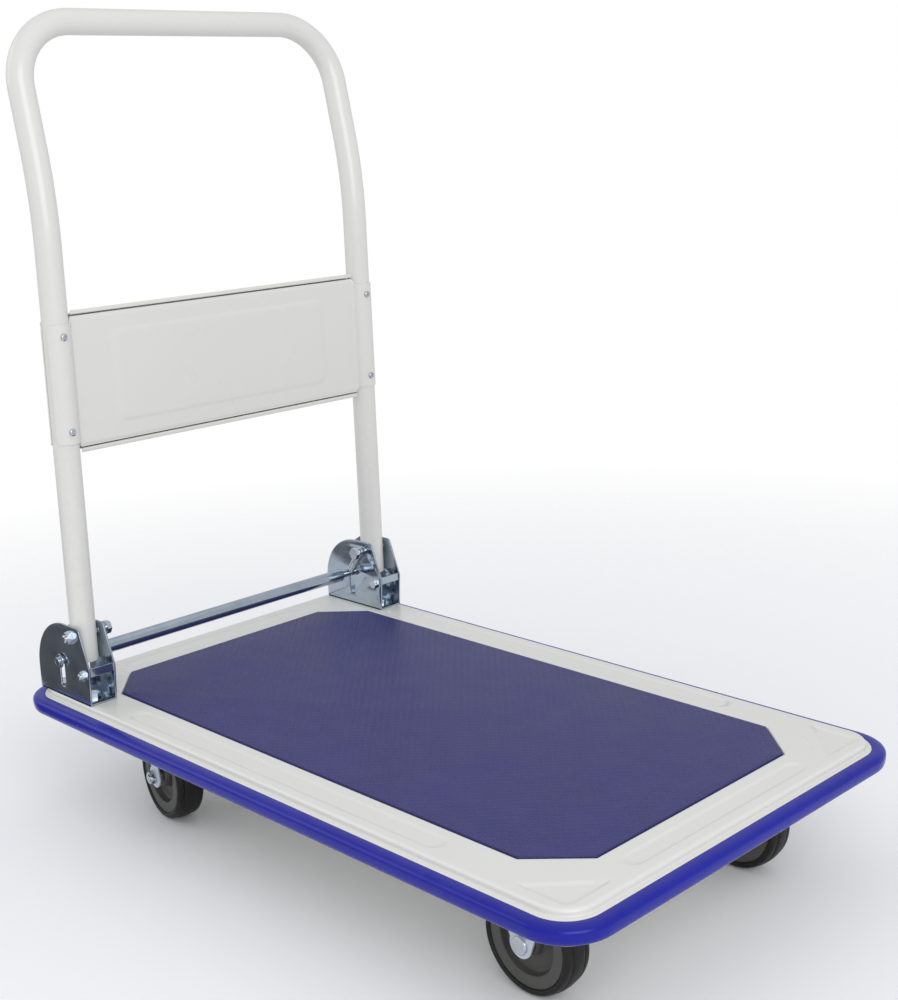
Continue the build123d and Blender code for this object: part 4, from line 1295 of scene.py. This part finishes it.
@dataclass
class Fork(Assembly):
    """Pressed caster fork: two legs that taper to a round foot, under a plate or a crown."""

    sheet: float = 2.5 * MM
    gap: float = 18 * MM
    foot: float = 12 * MM
    edge: float = 0.45 * MM
    axle_hole: float = 4.3 * MM
    front_half: float = 29.5 * MM
    front_straight: float = 24 * MM
    bolt_reach: Point2 = (37 * MM, 22.5 * MM)
    plate: float = 3 * MM
    plate_round: float = 8 * MM
    rear_half: float = 31 * MM
    crown_drop: float = 4.4 * MM
    rear_straight: float = 22 * MM

    def leg_line(self, half: float, top: float, knee: float, axle: Point2) -> list[Point2]:
        """Outside line of a leg, about the caster's own upright axis."""
        line = [(-half, top), (-half, knee)]
        ax, az = axle
        first = math.degrees(math.atan2(-(ax + half - self.foot), knee - az)) + 180
        last = 360 + math.degrees(math.atan2(half - ax - self.foot, knee - az)) * -1
        for k in range(19):
            a = math.radians(first + (last - first) * k / 18)
            line.append((ax + self.foot * math.cos(a), az + self.foot * math.sin(a)))
        line += [(half, knee), (half, top)]
        return list(reversed(line))

    def legs(self, place: Matrix, half: float, top: float, knee: float,
             axle: Point2) -> list[bpy.types.Object]:
        """Both legs of a fork, in place."""
        hole = circle(axle[0], axle[1], self.axle_hole)
        line = self.leg_line(half, top, knee, axle)
        made = []
        for side in (1, -1):
            y = side * (self.gap + self.sheet / 2)
            made.append(MeshShop.cut_plate("leg", line, [hole], self.sheet, self.edge,
                                           place @ side_view(y)))
        return made

    def front(self, side: str) -> None:
        """Build a rigid fork with its plate."""
        node = side + "_front_fork"
        low, high = box_of(node)
        centre = (low + high) / 2
        place = Matrix.Translation((centre.x, centre.y, 0))
        top = high.z - 0.3 * MM
        axle = (0.0, centre_of("front_axle_bolts").z)
        parts = self.legs(place, self.front_half, top, high.z - self.front_straight, axle)
        length, width = high.x - low.x, high.y - low.y
        corners = [(-length / 2, -width / 2), (length / 2, -width / 2),
                   (length / 2, width / 2), (-length / 2, width / 2)]
        holes = [circle(sx * self.bolt_reach[0], sy * self.bolt_reach[1], self.axle_hole)
                 for sx in (1, -1) for sy in (1, -1)]
        parts.append(MeshShop.cut_plate(
            "plate", rounded_polygon(corners, [self.plate_round] * 4), holes, self.plate,
            self.edge, place @ Matrix.Translation((0, 0, high.z - self.plate / 2))))
        fork = MeshShop.joined(side + "_rigid_fork", parts)
        self.fit(fork, self.shop.palette.satin_zinc, "chassis", node)

    def rear(self, side: str) -> None:
        """Build a swivel fork: crown, race cup and trailing legs."""
        node = side + "_rear_fork"
        swivel = self.joint(side + "_rear_swivel_turn")
        spin = self.joint(side + "_rear_wheel_spin")
        pin, axle = Vector(swivel["pos_m"]), Vector(spin["pos_m"])
        yaw = math.atan2(axle.y - pin.y, axle.x - pin.x)
        trail = math.hypot(axle.x - pin.x, axle.y - pin.y)
        place = Matrix.Translation((pin.x, pin.y, 0)) @ Matrix.Rotation(yaw, 4, "Z")
        high = box_of(node)[1].z
        crown_top = high - self.crown_drop
        half = self.rear_half
        parts = self.legs(place, half, crown_top - 1.2 * MM, crown_top - self.rear_straight,
                          (trail, axle.z))
        wide = self.gap + self.sheet
        corners = [(-half, -wide), (half, -wide), (half, wide), (-half, wide)]
        parts.append(MeshShop.cut_plate(
            "crown", rounded_polygon(corners, [6 * MM] * 4), [circle(0, 0, 6.1 * MM)],
            self.sheet, self.edge, place @ Matrix.Translation((0, 0, crown_top - 1.25 * MM))))
        cup = [(6.2 * MM, 0), (28 * MM, 0), (28 * MM, 2.6 * MM), (27.2 * MM, 3.9 * MM),
               (25.6 * MM, 4.4 * MM), (24 * MM, 4.4 * MM), (23 * MM, 3.2 * MM),
               (20 * MM, 2.2 * MM), (17 * MM, 3.2 * MM), (16 * MM, 4.4 * MM), (6.2 * MM, 4.4 * MM)]
        upright = place @ Matrix.Translation((0, 0, crown_top)) @ Matrix.Rotation(
            math.radians(90), 4, "X")
        parts.append(MeshShop.turned("cup", cup, upright, steps=64))
        fork = MeshShop.joined(side + "_swivel_fork", parts)
        self.fit(fork, self.shop.palette.satin_zinc, side + "_rear_swivel", node)


# ------------------------------------------------------------------ pieces kept from the CAD
@dataclass
class Hardware(Assembly):
    """Screws, bolts, stiffeners and inner pieces, shown as the CAD has them."""

    edge: float = 0.25 * MM
    softened: tuple[str, ...] = ("member", "plate", "clips")

    def make(self, nodes: dict[str, bpy.types.Object], record: dict) -> None:
        """Dress every CAD node that nothing replaces.

        Args:
            nodes: The CAD nodes by name.
            record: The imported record, which gives each node's slot.
        """
        slots = {part["node"]: part["material_slot"] for part in record["subparts"]}
        for name, piece in sorted(nodes.items()):
            if piece.hide_render:
                continue
            self.shop.dress(piece, self.shop.by_slot[slots[name]])
            if any(word in name for word in self.softened):
                soft = piece.modifiers.new("soft_edges", "BEVEL")
                soft.width = self.edge
                soft.segments = 2
                soft.limit_method = "ANGLE"
                soft.angle_limit = math.radians(50)
            LOG.info("%s kept from the CAD", name)


# ------------------------------------------------------------------ studio
class Lamp(Enum):
    """Soft lights of the studio: place, size and power."""

    KEY = ((2.5, -1.3, 1.7), 2.2, 44.0)
    FILL = ((-2.6, -1.8, 2.0), 2.2, 16.0)
    TOP = ((0.0, 0.6, 3.6), 3.2, 6.0)


@dataclass
class Studio:
    """Pale floor, soft lights and the camera."""

    azimuth: float = 45.635
    height_angle: float = 11.284
    roll: float = -2.381
    place: tuple[float, float, float] = (1.0884, -1.0110, 0.7198)
    focal: float = 1.5448
    shift: Point2 = (-0.0046, -0.0722)
    fade: Point2 = (0.55, 1.7)
    floor_half: float = 30.0
    flag_low: Point2 = (-1.7, -1.4)
    flag_high: Point2 = (-0.47, -0.3)
    flag_lift: float = 0.004
    sensor: float = 24.0
    target: tuple[float, float, float] = (0.0, 0.0, 0.3)

    def floor(self) -> None:
        """Lay a floor that fades out far from the cart and is clear from below."""
        mesh = bpy.data.meshes.new("studio_floor")
        far = self.floor_half
        mesh.from_pydata([(-far, -far, 0), (far, -far, 0), (far, far, 0), (-far, far, 0)], [],
                         [(0, 1, 2, 3)])
        floor = bpy.data.objects.new("studio_floor", mesh)
        bpy.context.scene.collection.objects.link(floor)
        paint = bpy.data.materials.new("studio_floor_paint")
        paint.use_nodes = True
        wires = Wiring(paint.node_tree)
        skin = paint.node_tree.nodes["Principled BSDF"]
        skin.inputs["Roughness"].default_value = 0.9
        noise = wires.node("ShaderNodeTexNoise", in_Scale=0.4)
        wires.join(wires.tint(noise.outputs["Fac"], (0.93, 0.93, 0.93), (0.95, 0.95, 0.95)),
                   skin.inputs["Base Color"])
        place = wires.node("ShaderNodeTexCoord")
        away = wires.node("ShaderNodeVectorMath", operation="LENGTH")
        wires.join(place.outputs["Object"], away.inputs[0])
        face = wires.node("ShaderNodeNewGeometry")
        near = wires.spread(away.outputs["Value"], self.fade[0], self.fade[1], 1.0, 0.0)
        above = wires.sum("SUBTRACT", 1.0, face.outputs["Backfacing"])
        wires.join(wires.sum("MULTIPLY", near, above), skin.inputs["Alpha"])
        mesh.materials.append(paint)

    def air(self) -> None:
        """Pale surroundings: white to the camera, dimmer as a light and in reflections."""
        world = bpy.data.worlds.new("studio_air")
        bpy.context.scene.world = world
        world.use_nodes = True
        wires = Wiring(world.node_tree)
        world.node_tree.nodes.clear()
        out = wires.node("ShaderNodeOutputWorld")
        seen = wires.node("ShaderNodeBackground", in_Color=(1, 1, 1, 1), in_Strength=1.0)
        lit = wires.node("ShaderNodeBackground", in_Color=(0.93, 0.95, 1, 1), in_Strength=0.72)
        path = wires.node("ShaderNodeLightPath")
        mix = wires.node("ShaderNodeMixShader")
        wires.join(path.outputs["Is Camera Ray"], mix.inputs[0])
        wires.join(lit.outputs[0], mix.inputs[1])
        wires.join(seen.outputs[0], mix.inputs[2])
        wires.join(mix.outputs[0], out.inputs[0])

    def flag(self) -> None:
        """Lay a dark card beside the handle, which shows only in reflections."""
        mesh = bpy.data.meshes.new("studio_flag")
        (x0, y0), (x1, y1), z = self.flag_low, self.flag_high, self.flag_lift
        mesh.from_pydata([(x0, y0, z), (x1, y0, z), (x1, y1, z), (x0, y1, z)], [],
                         [(0, 1, 2, 3)])
        card = bpy.data.objects.new("studio_flag", mesh)
        bpy.context.scene.collection.objects.link(card)
        paint = bpy.data.materials.new("studio_flag_cloth")
        paint.use_nodes = True
        skin = paint.node_tree.nodes["Principled BSDF"]
        skin.inputs["Base Color"].default_value = (0.02, 0.022, 0.025, 1.0)
        mesh.materials.append(paint)
        for ray in ("camera", "diffuse", "shadow", "transmission", "volume_scatter"):
            setattr(card, "visible_" + ray, False)

    def lights(self) -> None:
        """Hang the soft lights."""
        for lamp in Lamp:
            where, size, power = lamp.value
            data = bpy.data.lights.new("lamp_" + lamp.name.lower(), "AREA")
            data.size = size
            data.energy = power
            holder = bpy.data.objects.new(data.name, data)
            holder.location = where
            aim = Vector(self.target) - Vector(where)
            holder.rotation_euler = aim.to_track_quat("-Z", "Y").to_euler()
            bpy.context.scene.collection.objects.link(holder)

    def camera(self) -> None:
        """Set the camera up."""
        data = bpy.data.cameras.new("studio_camera")
        data.sensor_fit = "VERTICAL"
        data.sensor_height = self.sensor
        data.lens = self.sensor * self.focal
        data.shift_x, data.shift_y = self.shift
        data.clip_end = 100.0
        az, el = math.radians(self.azimuth), math.radians(self.height_angle)
        back = Vector((math.sin(az) * math.cos(el), -math.cos(az) * math.cos(el), math.sin(el)))
        right = (-back).cross(Vector((0, 0, 1))).normalized()
        up = right.cross(-back)
        c, s = math.cos(math.radians(self.roll)), math.sin(math.radians(self.roll))
        x_axis, y_axis = c * right + s * up, c * up - s * right
        turn = Matrix((x_axis, y_axis, back)).transposed().to_4x4()
        holder = bpy.data.objects.new("studio_camera", data)
        holder.matrix_world = Matrix.Translation(self.place) @ turn
        bpy.context.scene.collection.objects.link(holder)
        bpy.context.scene.camera = holder

    def make(self) -> None:
        """Set up the whole studio."""
        self.floor()
        self.air()
        self.flag()
        self.lights()
        self.camera()
        bpy.context.scene.view_settings.view_transform = "Standard"


def main() -> None:
    """Build the cart's looks in order."""
    logging.basicConfig(level=logging.INFO, format="%(name)s: %(message)s")
    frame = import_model()
    shop = Paintshop()
    Deck(shop).make()
    for side in SIDES:
        HingeBracket(shop).make(side)
    Handle(shop).make()
    FootBar(shop).make()
    for side in SIDES:
        for end in ("front", "rear"):
            Wheel(shop, frame["joints"]).make(side, end)
        Fork(shop, frame["joints"]).front(side)
        Fork(shop, frame["joints"]).rear(side)
    Hardware(shop).make(frame["nodes"], frame["record"])
    Studio().make()


if __name__ == "__main__":
    main()
